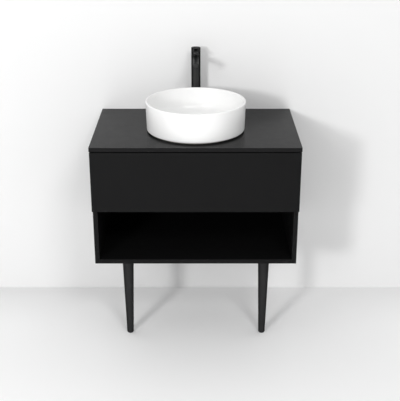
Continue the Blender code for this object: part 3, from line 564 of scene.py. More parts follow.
def swept(outline: Sequence[Pair], axis: str, low: float, high: float) -> Shape:
    """Runs an outline along Y or Z.

    Args:
        outline: points in the plane across the axis, in the order of the other two axes.
        axis: "Y" or "Z".
        low: where the shape starts.
        high: where it ends.

    Returns:
        The closed shape, its faces outward.
    """
    order = {"Y": (0, 2, 1), "Z": (0, 1, 2)}[axis]
    bm = bmesh.new()
    ends = [[bm.verts.new([(a, b, level)[i] for i in order]) for a, b in outline] for level in (low, high)]
    skin(bm, ends)
    return bm


def skin(bm: Shape, rings: Sequence[Sequence[bmesh.types.BMVert]]) -> None:
    """Joins rings of as many points each, closes both ends and turns the faces outward."""
    bm.faces.new(rings[0])
    bm.faces.new(rings[-1])
    count = len(rings[0])
    for first, second in zip(rings, rings[1:]):
        for i in range(count):
            j = (i + 1) % count
            bm.faces.new((first[i], first[j], second[j], second[i]))
    bmesh.ops.recalc_face_normals(bm, faces=bm.faces)


def soften(bm: Shape, width: float, segments: int = 2) -> None:
    """Rounds every sharp edge, reaching width on each face, with so many segments."""
    limit = math.radians(SHARP_DEG)
    sharp = [e for e in bm.edges if len(e.link_faces) == 2 and e.calc_face_angle() > limit]
    bmesh.ops.bevel(
        bm, geom=sharp, offset=width, segments=segments, profile=0.5, affect="EDGES", clamp_overlap=True
    )


def carve(bm: Shape, cutter: Shape) -> Shape:
    """Takes the cutter out of a shape. Both are freed, and what is left is new."""
    objects = []
    for shape in (bm, cutter):
        mesh = bpy.data.meshes.new("carving")
        shape.to_mesh(mesh)
        shape.free()
        objects.append(bpy.data.objects.new("carving", mesh))
        bpy.context.scene.collection.objects.link(objects[-1])
    modifier = objects[0].modifiers.new("cut", "BOOLEAN")
    modifier.operation, modifier.solver, modifier.object = "DIFFERENCE", "EXACT", objects[1]
    left = bmesh.new()
    left.from_object(objects[0], bpy.context.evaluated_depsgraph_get())
    for obj in objects:
        bpy.data.objects.remove(obj)
    return left


def nut_shape(node: str, bore: float, place: Vector) -> Shape:
    """A hexagonal nut with chamfered corners and a countersunk bore, in a CAD node's place.

    Args:
        node: the CAD nut, its corners towards -Y and +Y.
        bore: its hole's radius.
        place: where its axis stands.

    Returns:
        The shape.
    """
    low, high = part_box(node)
    flats = (high.y - low.y) / 2 * math.cos(math.pi / 6)
    rise = (flats / math.cos(math.pi / 6) - flats) * math.tan(math.radians(30)) + 0.0004
    sink, ease = 0.0006, 0.0004
    half = [(bore, low.z + sink), (bore + sink, low.z), (flats - ease, low.z), (flats, low.z + rise)]
    other = [(flats, high.z - rise), (flats - ease, high.z), (bore + sink, high.z), (bore, high.z - sink)]
    return turned(half + other, place, 72, swell=hexagonal(flats, 0.0003))


# ---------------------------------------------------------------- pieces


def plain_mesh(obj: bpy.types.Object, name: str) -> bpy.types.Object:
    """Turns an object with modifiers, which is removed, into a new one with a plain mesh."""
    bpy.context.view_layer.update()
    mesh = bpy.data.meshes.new_from_object(obj.evaluated_get(bpy.context.evaluated_depsgraph_get()))
    bpy.data.objects.remove(obj)
    mesh.name = name
    made = bpy.data.objects.new(name, mesh)
    bpy.context.scene.collection.objects.link(made)
    return made


def shade(mesh: bpy.types.Mesh, sharp_deg: float) -> None:
    """Shades a mesh smooth but for the edges sharper than an angle."""
    mesh.shade_smooth()
    mesh.set_sharp_from_angle(angle=math.radians(sharp_deg))


def hang(piece: bpy.types.Object, body: str, node: str | None = None) -> None:
    """Parents a piece to the body it moves with, and hides the CAD node it takes the place of, if any."""
    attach(piece, body)
    if node:
        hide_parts(node)
    LOG.info("%s rides on %s, %d faces", piece.name, body, len(piece.data.polygons))


def add_piece(
    name: str, bm: Shape, finish: Finish, node: str, body: str = "cabinet", sharp_deg: float = 40.0
) -> None:
    """Makes a finished piece of a shape and hangs it on its body.

    Args:
        name: the piece's name.
        bm: the shape, which is freed.
        finish: what it is finished in.
        node: the CAD node it takes the place of.
        body: the CAD body it moves with.
        sharp_deg: edges sharper than this stay sharp.
    """
    mesh = bpy.data.meshes.new(name)
    bm.to_mesh(mesh)
    bm.free()
    shade(mesh, sharp_deg)
    mesh.materials.append(finish.material)
    rough = bpy.data.objects.new(name + "_rough", mesh)
    bpy.context.scene.collection.objects.link(rough)
    rough.modifiers.new("weighted_normals", "WEIGHTED_NORMAL").keep_sharp = True
    hang(plain_mesh(rough, name), body, node)


def lathe(
    name: str, node: str, corners: Sequence[Corner], finish: Finish, place: Vector, sides: int,
    steps: int = 5, axis: Axis = Axis.UP, body: str = "cabinet",
) -> None:
    """Makes a piece by turning an outline. One that starts on the axis also ends on it.

    Args:
        name: the piece's name.
        node: the CAD node it takes the place of.
        corners: the outline, as (radius, height) and a rounding.
        finish: what it is finished in.
        place: where the axis's origin is.
        sides: faces round the axis.
        steps: faces in each rounding.
        axis: which way the axis runs.
        body: the CAD body it moves with.
    """
    outline = rounded(corners, steps, closed=corners[0][0] > 0)
    add_piece(name, turned(outline, place, sides, axis), finish, node, body)


def from_node(
    name: str, node: str, width: float, finish: Finish, body: str = "cabinet", segments: int = 2
) -> None:
    """Makes a piece of a CAD node's own shape, with clean flat faces and rounded edges.

    Args:
        name: the piece's name.
        node: the CAD node.
        width: how far the rounding reaches.
        finish: what it is finished in.
        body: the CAD body it moves with.
        segments: faces across each rounded edge.
    """
    bm = bmesh.new()
    bm.from_mesh(frame["nodes"][node].data)
    bmesh.ops.remove_doubles(bm, verts=bm.verts, dist=1e-5)
    bmesh.ops.dissolve_limit(bm, angle_limit=math.radians(1.0), verts=bm.verts, edges=bm.edges)
    bmesh.ops.recalc_face_normals(bm, faces=bm.faces)
    soften(bm, width, segments)
    add_piece(name, bm, finish, node, body)


def keep_node(node: str, finish: Finish) -> None:
    """Leaves a CAD node in view with a better material."""
    obj = frame["nodes"][node]
    for slot in obj.material_slots:
        slot.material = finish.material
    if not obj.material_slots:
        obj.data.materials.append(finish.material)
    LOG.info("%s kept from the frame", node)


def measured(node: str) -> tuple[Vector, Vector, float]:
    """The low and high corners of a CAD node's box, and half of its width along X."""
    low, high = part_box(node)
    return low, high, (high.x - low.x) / 2


def middle(node: str) -> Vector:
    """The centre of a CAD node's box."""
    low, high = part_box(node)
    return (low + high) / 2


def upright(node: str, aside: bool = False) -> Vector:
    """Where a node's upright axis meets Z = 0: on the middle plane, unless it stands aside."""
    return Vector((middle(node).x if aside else 0, middle(node).y, 0))


# ---------------------------------------------------------------- repeated detail


class Pattern(Tree):
    """A node tree that sets copies of a small shape on points, and ends in a plain mesh."""

    def __init__(self, name: str, sharp_deg: float | None = None, **sizes: str) -> None:
        """Starts the tree with a geometry in and out, its sizes and a material.

        Args:
            name: the tree's name.
            sharp_deg: edges of the result sharper than this are sharp, or None to leave them.
            sizes: the kind of each named input, with spaces as underscores.
        """
        super().__init__(bpy.data.node_groups.new(name, "GeometryNodeTree"))
        self.sharp_deg = sharp_deg
        face = self.tree.interface
        face.new_socket("Geometry", in_out="OUTPUT", socket_type="NodeSocketGeometry")
        self.ids: dict[str, str] = {}
        for key, kind in {"Geometry": "Geometry", **sizes, "Material": "Material"}.items():
            made = face.new_socket(key.replace("_", " "), in_out="INPUT", socket_type="NodeSocket" + kind)
            self.ids[key] = made.identifier
        self.source = self.tree.nodes.new("NodeGroupInput")

    def __getitem__(self, key: str) -> Socket:
        """The socket that gives a named input."""
        return self.source.outputs[key.replace("_", " ")]

    def close(self, smooth: bool = False, **values: object) -> None:
        """Ends the tree: sets the copies on the points, realizes them and gives them the material.

        Args:
            smooth: whether they are shaded smooth.
            values: inputs of the node that sets the copies, with spaces as underscores.
        """
        real = self.add("GeometryNodeInstanceOnPoints", **values).outputs[0]
        real = self.add("GeometryNodeRealizeInstances", Geometry=real).outputs[0]
        if smooth:
            real = self.add("GeometryNodeSetShadeSmooth", Geometry=real).outputs[0]
        dressed = self.add("GeometryNodeSetMaterial", Geometry=real, Material=self["Material"])
        self.feed(self.tree.nodes.new("NodeGroupOutput").inputs[0], dressed.outputs[0])

    def place(
        self, name: str, finish: Finish, body: str, spot: Vector, axis: Axis = Axis.UP,
        mesh: bpy.types.Mesh | None = None, **sizes: object,
    ) -> None:
        """Runs the tree and hangs the result on a body.

        Args:
            name: the piece's name.
            finish: what it is finished in.
            body: the CAD body it moves with.
            spot: where the tree's origin goes.
            axis: which way the tree's Z goes.
            mesh: the mesh that goes in, if the tree uses one.
            sizes: the named inputs.
        """
        rough = bpy.data.objects.new(name + "_rough", mesh or bpy.data.meshes.new(name))
        modifier = rough.modifiers.new(name, "NODES")
        modifier.node_group = self.tree
        for key, value in {**sizes, "Material": finish.material}.items():
            modifier[self.ids[key]] = value
        bpy.context.scene.collection.objects.link(rough)
        piece = plain_mesh(rough, name)
        piece.data.transform(Matrix.Translation(spot) @ axis.value)
        if self.sharp_deg:
            piece.data.set_sharp_from_angle(angle=math.radians(self.sharp_deg))
        hang(piece, body)


class Screws(Pattern):
    """Pan heads with a cross recess, set on points and turned at random about their axes."""

    SEED = 7

    def __init__(self) -> None:
        """Builds the head once, at a radius of 1, and the tree that places it."""
        super().__init__("screw_heads", Head="Object", Head_Radius="Float", Seed="Int")
        self.head = self.make_head()
        shape = self.add("GeometryNodeObjectInfo", Object=self["Head"]).outputs["Geometry"]
        facing = self.add("GeometryNodeInputNamedAttribute", data_type="FLOAT_VECTOR", Name="facing")
        along = self.add("FunctionNodeAlignRotationToVector", axis="Z", Vector=facing.outputs[0])
        twist = self.add("FunctionNodeRandomValue", data_type="FLOAT", Seed=self["Seed"])
        twist.inputs[2].default_value, twist.inputs[3].default_value = 0.0, math.pi / 2
        spin = self.add("ShaderNodeCombineXYZ", Z=twist.outputs[1])
        turn = self.add("FunctionNodeRotateRotation", rotation_space="LOCAL")
        self.feed(turn.inputs[0], along.outputs[0])
        self.feed(turn.inputs[1], spin.outputs[0])
        self.close(
            Points=self["Geometry"], Instance=shape, Rotation=turn.outputs[0], Scale=self["Head_Radius"]
        )

    def make_head(self) -> bpy.types.Object:
        """The head's template: a low dome with a cross pressed into it."""
        dome = [(0, 0), (1, 0), (1, 0.34, 0.3), (0.55, 0.56, 0.4), (0, 0.6)]
        bm = turned(rounded(dome, 3, closed=False), Vector(), 24)
        wide, narrow, floor, top = 0.52, 0.13, 0.24, 0.9
        for a, b in ((wide, narrow), (narrow, wide)):
            bm = carve(bm, swept([(-a, -b), (a, -b), (a, b), (-a, b)], "Z", floor, top))
        mesh = bpy.data.meshes.new("screw_head")
        bm.to_mesh(mesh)
        bm.free()
        shade(mesh, 35)
        return bpy.data.objects.new("screw_head", mesh)

    def drive(
        self, name: str, spots: Sequence[Vector], facing: Triple, radius: float, body: str = "cabinet"
    ) -> None:
        """Sets a zinc-plated head on each spot.

        Args:
            name: the piece's name.
            spots: where the heads sit.
            facing: which way they face.
            radius: of each head.
            body: the CAD body that they move with.
        """
        mesh = bpy.data.meshes.new(name)
        mesh.from_pydata([tuple(s) for s in spots], [], [])
        turns = mesh.attributes.new("facing", "FLOAT_VECTOR", "POINT")
        turns.data.foreach_set("vector", [c for _ in spots for c in facing])
        sizes = {"Head": self.head, "Head_Radius": radius, "Seed": self.SEED}
        self.place(name, ZINC, body, Vector(), mesh=mesh, **sizes)


def rib_pattern() -> Pattern:
    """Rounded bars on a circle, as grip ribs."""
    tree = Pattern("grip_ribs", 50.0, Count="Int", Ring_Radius="Float", Rib_Radius="Float", Rib_Length="Float")
    circle = tree.add("GeometryNodeMeshCircle", Vertices=tree["Count"], Radius=tree["Ring_Radius"])
    bar = tree.add(
        "GeometryNodeMeshCylinder", fill_type="TRIANGLE_FAN", Vertices=10, Radius=tree["Rib_Radius"],
        Depth=tree["Rib_Length"],
    )
    tree.close(Points=circle.outputs[0], Instance=bar.outputs[0])
    return tree


def ball_pattern() -> Pattern:
    """Steel balls in a row towards +Y, as a runner's cage holds them."""
    tree = Pattern("ball_rows", Count="Int", Step="Float", Ball_Radius="Float")
    offset = tree.add("ShaderNodeCombineXYZ", Y=tree["Step"])
    line = tree.add("GeometryNodeMeshLine", Count=tree["Count"], Offset=offset.outputs[0])
    ball = tree.add("GeometryNodeMeshIcoSphere", Radius=tree["Ball_Radius"], Subdivisions=2)
    tree.close(smooth=True, Points=line.outputs[0], Instance=ball.outputs[0])
    return tree


def screen_pattern() -> Pattern:
    """Small hexagonal pegs on a staggered grid that is cut to a circle, for a spout's outlet screen."""
    tree = Pattern("outlet_screen", Cell="Float", Reach="Float", Depth="Float")
    rows, peg_share = 17, 0.46
    side = tree.math("MULTIPLY", tree["Cell"], rows - 1)
    tall = tree.math("MULTIPLY", side, math.cos(math.pi / 6))
    grid = tree.add("GeometryNodeMeshGrid", Size_X=side, Size_Y=tall, Vertices_X=rows, Vertices_Y=rows)
    odd = tree.math("MODULO", tree.add("GeometryNodeInputIndex").outputs[0], 2.0)
    shift = tree.math("MULTIPLY", odd, tree.math("MULTIPLY", tree["Cell"], 0.5))
    move = tree.add("ShaderNodeCombineXYZ", X=shift).outputs[0]
    stagger = tree.add("GeometryNodeSetPosition", Geometry=grid.outputs[0], Offset=move)
    far = tree.add("ShaderNodeVectorMath", operation="LENGTH")
    tree.feed(far.inputs[0], tree.add("GeometryNodeInputPosition").outputs[0])
    inside = tree.add("FunctionNodeCompare", data_type="FLOAT", operation="LESS_THAN")
    tree.feed(inside.inputs[0], far.outputs["Value"])
    tree.feed(inside.inputs[1], tree["Reach"])
    thick = tree.math("MULTIPLY", tree["Cell"], peg_share)
    peg = tree.add("GeometryNodeMeshCylinder", Vertices=6, Radius=thick, Depth=tree["Depth"])
    tree.close(Points=stagger.outputs[0], Selection=inside.outputs[0], Instance=peg.outputs[0])
    return tree


@dataclass
class Repeats:
    """The patterns that the sub-assemblies share."""

    screws: Screws = field(default_factory=Screws)
    ribs: Pattern = field(default_factory=rib_pattern)
    balls: Pattern = field(default_factory=ball_pattern)
    screen: Pattern = field(default_factory=screen_pattern)


# ---------------------------------------------------------------- cabinet


@dataclass
class Cabinet:
    """Worktop and carcass boards, with eased edges."""

    worktop_edge: float = 0.0008
    board_edge: float = 0.0005
    boards: tuple[str, ...] = (
        "side_panel_left", "side_panel_right", "bottom_panel", "middle_panel", "niche_back",
        "front_rail", "back_rail",
    )

    def build(self) -> None:
        """Makes the slab and the boards."""
        from_node("worktop_slab", "worktop", self.worktop_edge, LAMINATE, segments=3)
        for node in self.boards:
            from_node(node + "_board", node, self.board_edge, LACQUER)


@dataclass
class Hanging:
    """The steel rail on the wall, and the two hangers on the back rail."""

    sheet_edge: float = 0.0003
    rail_sheet: float = 0.002
    rail_screw: float = 0.0042
    rail_screws: int = 6
    rail_inset: float = 0.035
    rail_rise: float = 0.014
    hanger_sheet: float = 0.0025
    hanger_screw: float = 0.0038
    hanger_inset: float = 0.012
    hanger_rises: Pair = (0.008, 0.030)

    def build(self, screws: Screws) -> None:
        """Makes the rail, the hangers and their screws."""
        from_node("wall_rail_strip", "wall_rail", self.sheet_edge, ZINC)
        low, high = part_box("wall_rail")
        y, z = high.y - self.rail_sheet, low.z + self.rail_rise
        span = (high.x - low.x - 2 * self.rail_inset) / (self.rail_screws - 1)
        spots = [Vector((low.x + self.rail_inset + span * i, y, z)) for i in range(self.rail_screws)]
        screws.drive("wall_rail_screws", spots, (0, -1, 0), self.rail_screw)
        for side in Side:
            node = "hanger_" + side.word
            from_node(node + "_hook", node, self.sheet_edge, ZINC)
            low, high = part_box(node)
            spots = [
                Vector((x, low.y + self.hanger_sheet, low.z + rise))
                for x in (low.x + self.hanger_inset, high.x - self.hanger_inset)
                for rise in self.hanger_rises
            ]
            screws.drive(node + "_screws", spots, (0, 1, 0), self.hanger_screw)


@dataclass
class Legs:
    """Two turned, tapered legs on plates, with levelling glides."""

    foot: float = 0.0138
    top_round: float = 0.0018
    foot_round: float = 0.0012
    hole: float = 0.0043
    hole_depth: float = 0.028
    plate_corner: float = 0.007
    plate_edge: float = 0.0004
    plate_screw: float = 0.0042
    plate_screw_inset: float = 0.010
    pad_height: float = 0.004
    stem: float = 0.004
    thread_depth: float = 0.0006
    pitch: float = 0.00125

    def build(self, screws: Screws) -> None:
        """Makes each leg, its plate, stud and glide."""
        for side in Side:
            self.build_leg("leg_" + side.word)
            self.build_plate("leg_plate_" + side.word, screws)
            self.build_glide(side)
            keep_node("leg_stud_" + side.word, ZINC)

    def build_leg(self, node: str) -> None:
        """The tapered leg, solid but for the glide's hole in its foot."""
        low, high, top = measured(node)
        roof = low.z + self.hole_depth
        outline = [
            (0, roof), (self.hole, roof), (self.hole, low.z, 0.0004), (self.foot, low.z, self.foot_round),
            (top, high.z, self.top_round), (0, high.z),
        ]
        lathe(node + "_turned", node, outline, LEG_COATING, upright(node, aside=True), 96, 6)

    def build_plate(self, node: str, screws: Screws) -> None:
        """The leg's mounting plate, with a screw in each corner."""
        low, high, half = measured(node)
        corners = box_corners((low.x, low.y), (high.x, high.y), self.plate_corner)
        plate = swept(rounded(corners, 6), "Z", low.z, high.z)
        soften(plate, self.plate_edge)
        add_piece(node + "_pressed", plate, COATING, node)
        reach, centre = half - self.plate_screw_inset, middle(node)
        spots = [
            Vector((centre.x + a * reach, centre.y + b * reach, low.z)) for a in (-1, 1) for b in (-1, 1)
        ]
        screws.drive(node + "_screws", spots, (0, 0, -1), self.plate_screw)

    def build_glide(self, side: Side) -> None:
        """The screw-in glide: a pad with a rounded sole on a threaded stem."""
        node = "glide_" + side.word
        low, high, pad = measured(node)
        top, stem = low.z + self.pad_height, self.stem
        sole = [(0, low.z), (pad, low.z, 0.0018), (pad, top, 0.0006), (stem, top)]
        outline = rounded(sole, 4, closed=False)
        outline += thread_points(stem, top + 0.0005, high.z - 0.0005, self.pitch)
        outline.append((0, high.z))
        thread = threaded(stem, self.thread_depth, self.pitch)
        glide = turned(outline, upright(node, aside=True), 48, swell=thread)
        add_piece(node + "_pad", glide, BLACK_PLASTIC, node, "foot_" + side.word)


# ---------------------------------------------------------------- basin, waste and trap


@dataclass
class Basin:
    """The glazed bowl: upright walls with a slight flare, a thin round rim and a wide flat floor."""

    wall: float = 0.007
    floor: float = 0.013
    corner: float = 0.036
    fall: float = 0.003
    foot_inset: float = 0.012
    foot_width: float = 0.016
    arch_drop: float = 0.001
    base_radius: float = 0.193
    heel: float = 0.006
    hole: float = 0.023
    seat: float = 0.033
    seat_depth: float = 0.003

    def build(self) -> None:
        """Turns the bowl."""
        low, high, radius = measured("basin")
        base, lip = low.z, self.wall / 2
        draft = (radius - self.base_radius) / (high.z - base - FOOT_RISE)
        bowl_floor = base + FOOT_RISE + self.floor
        corner_foot = bowl_floor + self.fall
        wall_foot = radius - self.wall - draft * (high.z - lip - corner_foot)
        foot, ledge, arch = self.base_radius - self.foot_inset, self.foot_width, base + FOOT_RISE - self.arch_drop
        seat_floor, lip = bowl_floor - self.seat_depth, lip * 0.999
        outline = [
            (self.hole, base, 0.001), (self.hole + ledge, base, 0.001), (self.hole + ledge, arch, 0.0015),
            (foot - ledge, arch, 0.0015), (foot - ledge, base, 0.001), (foot, base, 0.001),
            (foot, base + FOOT_RISE, 0.0015), (self.base_radius, base + FOOT_RISE, self.heel),
            (radius, high.z, lip), (radius - self.wall, high.z, lip), (wall_foot, corner_foot, self.corner),
            (self.seat, bowl_floor, 0.0025), (self.seat, seat_floor, 0.0006), (self.hole, seat_floor, 0.0008),
        ]
        lathe("basin_glazed", "basin", outline, GLAZE, upright("basin"), 192, 10)


@dataclass
class Waste:
    """The flanged and threaded waste tube, its washer and nut, and the domed plug."""

    sides: int = 72
    bore: float = 0.019
    tube: float = 0.0215
    play: float = 0.0003
    pitch: float = 0.0022
    web: float = 0.004
    dome: float = 0.003
    plug_rim: float = 0.002
    plug_height: float = 0.005
    stem: float = 0.0035
    stem_hole: float = 0.0038
    drain: float = 0.0045

    def build(self) -> None:
        """Makes the four pieces."""
        place = upright("waste_body")
        self.build_tube(place)
        low, high, ring = measured("waste_washer")
        hole = self.tube + self.play
        washer = [(hole, low.z, 0.0004), (ring, low.z, 0.0009), (ring, high.z, 0.0009), (hole, high.z, 0.0004)]
        lathe("waste_seal", "waste_washer", washer, RUBBER, place, self.sides, 4)
        add_piece("waste_back_nut", nut_shape("waste_nut", hole, place), BRASS, "waste_nut")
        self.build_plug(place)

    def build_tube(self, place: Vector) -> None:
        """The tube, with a web across it that guides the plug's stem between four drain holes."""
        low, high, flange = measured("waste_body")
        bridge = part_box("worktop")[0].z
        outline = [(self.stem_hole, bridge), (self.bore, bridge), (self.bore, low.z + 0.0006)]
        outline += [(self.bore + 0.0006, low.z), (self.tube - 0.0008, low.z)]
        outline += thread_points(self.tube, low.z + 0.001, high.z - 0.006, self.pitch)
        top = [
            (self.tube, high.z - 0.0045), (self.tube, high.z - 0.0027), (flange, high.z - 0.0027, 0.0006),
            (flange, high.z, 0.0012), (self.bore + 0.004, high.z, 0.001), (self.bore, high.z - 0.004, 0.001),
            (self.bore, bridge + self.web, 0.001), (self.stem_hole, bridge + self.web),
        ]
        outline += rounded(top, 4, closed=False)
        body = turned(outline, place, self.sides, swell=threaded(self.tube, 0.0009, self.pitch))
        low_z, high_z = bridge - 0.002, bridge + self.web + 0.002
        hole = [(0.0, low_z), (self.drain, low_z), (self.drain, high_z), (0.0, high_z)]
        ring = (self.bore + self.stem_hole) / 2 + self.play
        for x, y in ((ring, 0), (0, ring), (-ring, 0), (0, -ring)):
            body = carve(body, turned(hole, place + Vector((x, y, 0)), 24))
        add_piece("waste_tube", body, BRASS, "waste_body")

    def build_plug(self, place: Vector) -> None:
        """The domed plug on its stem."""
        low, high, radius = measured("waste_plug")
        cap = high.z - self.plug_height
        rim = cap + self.plug_rim
        plug = [
            (0, low.z), (self.stem, low.z, 0.0008), (self.stem, cap, 0.0006), (radius, cap, 0.0008),
            (radius, rim, 0.0012), (radius * 0.66, rim + self.dome * 0.62, 0.02),
            (radius * 0.3, high.z - self.dome * 0.06, 0.03), (0, high.z),
        ]
        lathe("waste_plug_cap", "waste_plug", plug, COATING, place, self.sides, 6, body="plug")


@dataclass
class Trap:
    """The white bottle trap, with ribbed nuts and cup, its outlet pipe and the plate on the wall."""

    sides: int = 72
    pipe: float = 0.016
    bore: float = 0.014
    tail: float = 0.0218
    collar: float = 0.0212
    body: float = 0.030
    wall: float = 0.0025
    rib: float = 0.0011
    play: float = 0.0003

    def build(self, ribs: Pattern) -> None:
        """Makes the six pieces and their grip ribs."""
        self.place = upright("trap_body")
        self.level = middle("trap_outlet_pipe").z
        self.hole = self.pipe + self.play
        self.build_inlet(ribs)
        self.build_body()
        self.build_cup(ribs)
        self.build_outlet(ribs)
        self.build_plate()

    def turn(self, name: str, node: str, corners: Sequence[Corner], steps: int = 5) -> None:
        """Turns an upright piece of the trap."""
        lathe(name, node, corners, WHITE_PLASTIC, self.place, self.sides, steps)

    def turn_outlet(self, name: str, node: str, corners: Sequence[Corner], steps: int = 5) -> None:
        """Turns a piece on the outlet's axis, which runs to the wall."""
        place = Vector((0, 0, self.level))
        lathe(name, node, corners, WHITE_PLASTIC, place, self.sides, steps, Axis.BACK)

    def grip(
        self, ribs: Pattern, name: str, spot: Vector, axis: Axis, count: int, ring: float, length: float
    ) -> None:
        """Sets grip ribs round an axis.

        Args:
            ribs: their pattern.
            name: the piece's name.
            spot: the middle of the ring of ribs.
            axis: which way the ring's axis runs.
            count: how many ribs.
            ring: the radius of the circle that the ribs' own axes stand on.
            length: of each rib.
        """
        sizes = {"Count": count, "Ring_Radius": ring, "Rib_Radius": self.rib, "Rib_Length": length}
        ribs.place(name, WHITE_PLASTIC, "cabinet", spot, axis, **sizes)

    def build_inlet(self, ribs: Pattern) -> None:
        """The nut that clamps the trap to the waste tube."""
        low, high, half = measured("trap_inlet_nut")
        outer, roof = half - self.rib * 0.8, low.z + 0.003
        outline = [
            (self.hole, low.z, 0.0005), (outer - 0.002, low.z, 0.0015), (outer, low.z + 0.004, 0.002),
            (outer, high.z, 0.0012), (self.tail, high.z, 0.0006), (self.tail, roof, 0.0005),
            (self.hole, roof, 0.0005),
        ]
        self.turn("trap_top_nut", "trap_inlet_nut", outline)
        spot = Vector((0, self.place.y, (low.z + high.z) / 2 + 0.001))
        self.grip(ribs, "trap_top_nut_ribs", spot, Axis.UP, 28, outer - self.rib * 0.25, 0.0155)

    def build_body(self) -> None:
        """The bottle, with its dip tube inside."""
        low, high, _ = measured("trap_body")
        bottle_low = self.level - self.pipe - 0.010
        bottle_high = self.level + self.pipe + 0.006
        roof, inner, neck = bottle_high - self.wall, self.body - self.wall, high.z - 0.004
        outline = [
            (self.bore, low.z, 0.0005), (self.pipe, low.z, 0.0005), (self.pipe, roof, 0.001),
            (inner, roof, 0.003), (inner, bottle_low, 0.0005), (self.body, bottle_low, 0.0008),
            (self.body, bottle_high, 0.006), (self.pipe + 0.001, bottle_high + 0.002, 0.003),
            (self.pipe, neck, 0.001), (self.collar, neck, 0.0008), (self.collar, high.z, 0.0008),
            (self.bore, high.z, 0.0008),
        ]
        self.turn("trap_bottle", "trap_body", outline, 6)

    def build_cup(self, ribs: Pattern) -> None:
        """The cup that unscrews, with a collar and ribs."""
        low, high, collar = measured("trap_cup")
        dent, floor, step = low.z + 0.0015, low.z + self.wall + 0.002, high.z - 0.012
        inner = self.body - self.wall
        outline = [
            (0, dent), (0.012, dent, 0.001), (0.0135, low.z, 0.001), (self.body - 0.002, low.z, 0.008),
            (self.body, step, 0.0008), (collar, step, 0.0012), (collar, high.z, 0.0012),
            (inner, high.z, 0.0008), (inner, floor, 0.007), (0, floor),
        ]
        self.turn("trap_lower_cup", "trap_cup", outline, 6)
        spot = Vector((0, self.place.y, high.z - 0.024))
        self.grip(ribs, "trap_cup_ribs", spot, Axis.UP, 30, self.body + 0.0004, 0.019)

    def build_outlet(self, ribs: Pattern) -> None:
        """The pipe to the wall and its gland nut."""
        low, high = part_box("trap_outlet_pipe")
        pipe = [
            (self.bore, low.y, 0.0004), (self.pipe, low.y, 0.0008), (self.pipe, high.y, 0.0008),
            (self.bore, high.y, 0.0004),
        ]
        self.turn_outlet("trap_wall_pipe", "trap_outlet_pipe", pipe, 3)
        low, high, half = measured("trap_outlet_nut")
        outer = half - self.rib * 0.8
        gland = [
            (self.hole, low.y, 0.0004), (outer, low.y, 0.0012), (outer, high.y - 0.003, 0.0015),
            (outer - 0.0025, high.y, 0.0012), (self.hole, high.y, 0.0006),
        ]
        self.turn_outlet("trap_gland_nut", "trap_outlet_nut", gland)
        spot = Vector((0, (low.y + high.y) / 2 - 0.001, self.level))
        self.grip(ribs, "trap_gland_ribs", spot, Axis.BACK, 24, outer - self.rib * 0.25, 0.0145)

    def build_plate(self) -> None:
        """The dished plate that covers the wall's hole."""
        low, high, radius = measured("wall_escutcheon")
        dish = [
            (self.hole, high.y, 0.0003), (self.hole, low.y, 0.0004), (self.pipe + 0.004, low.y, 0.003),
            (radius - 0.004, high.y - 0.0032, 0.012), (radius, high.y - 0.0012, 0.0008),
            (radius, high.y, 0.0003),
        ]
        self.turn_outlet("wall_pipe_plate", "wall_escutcheon", dish, 6)


# ---------------------------------------------------------------- tap


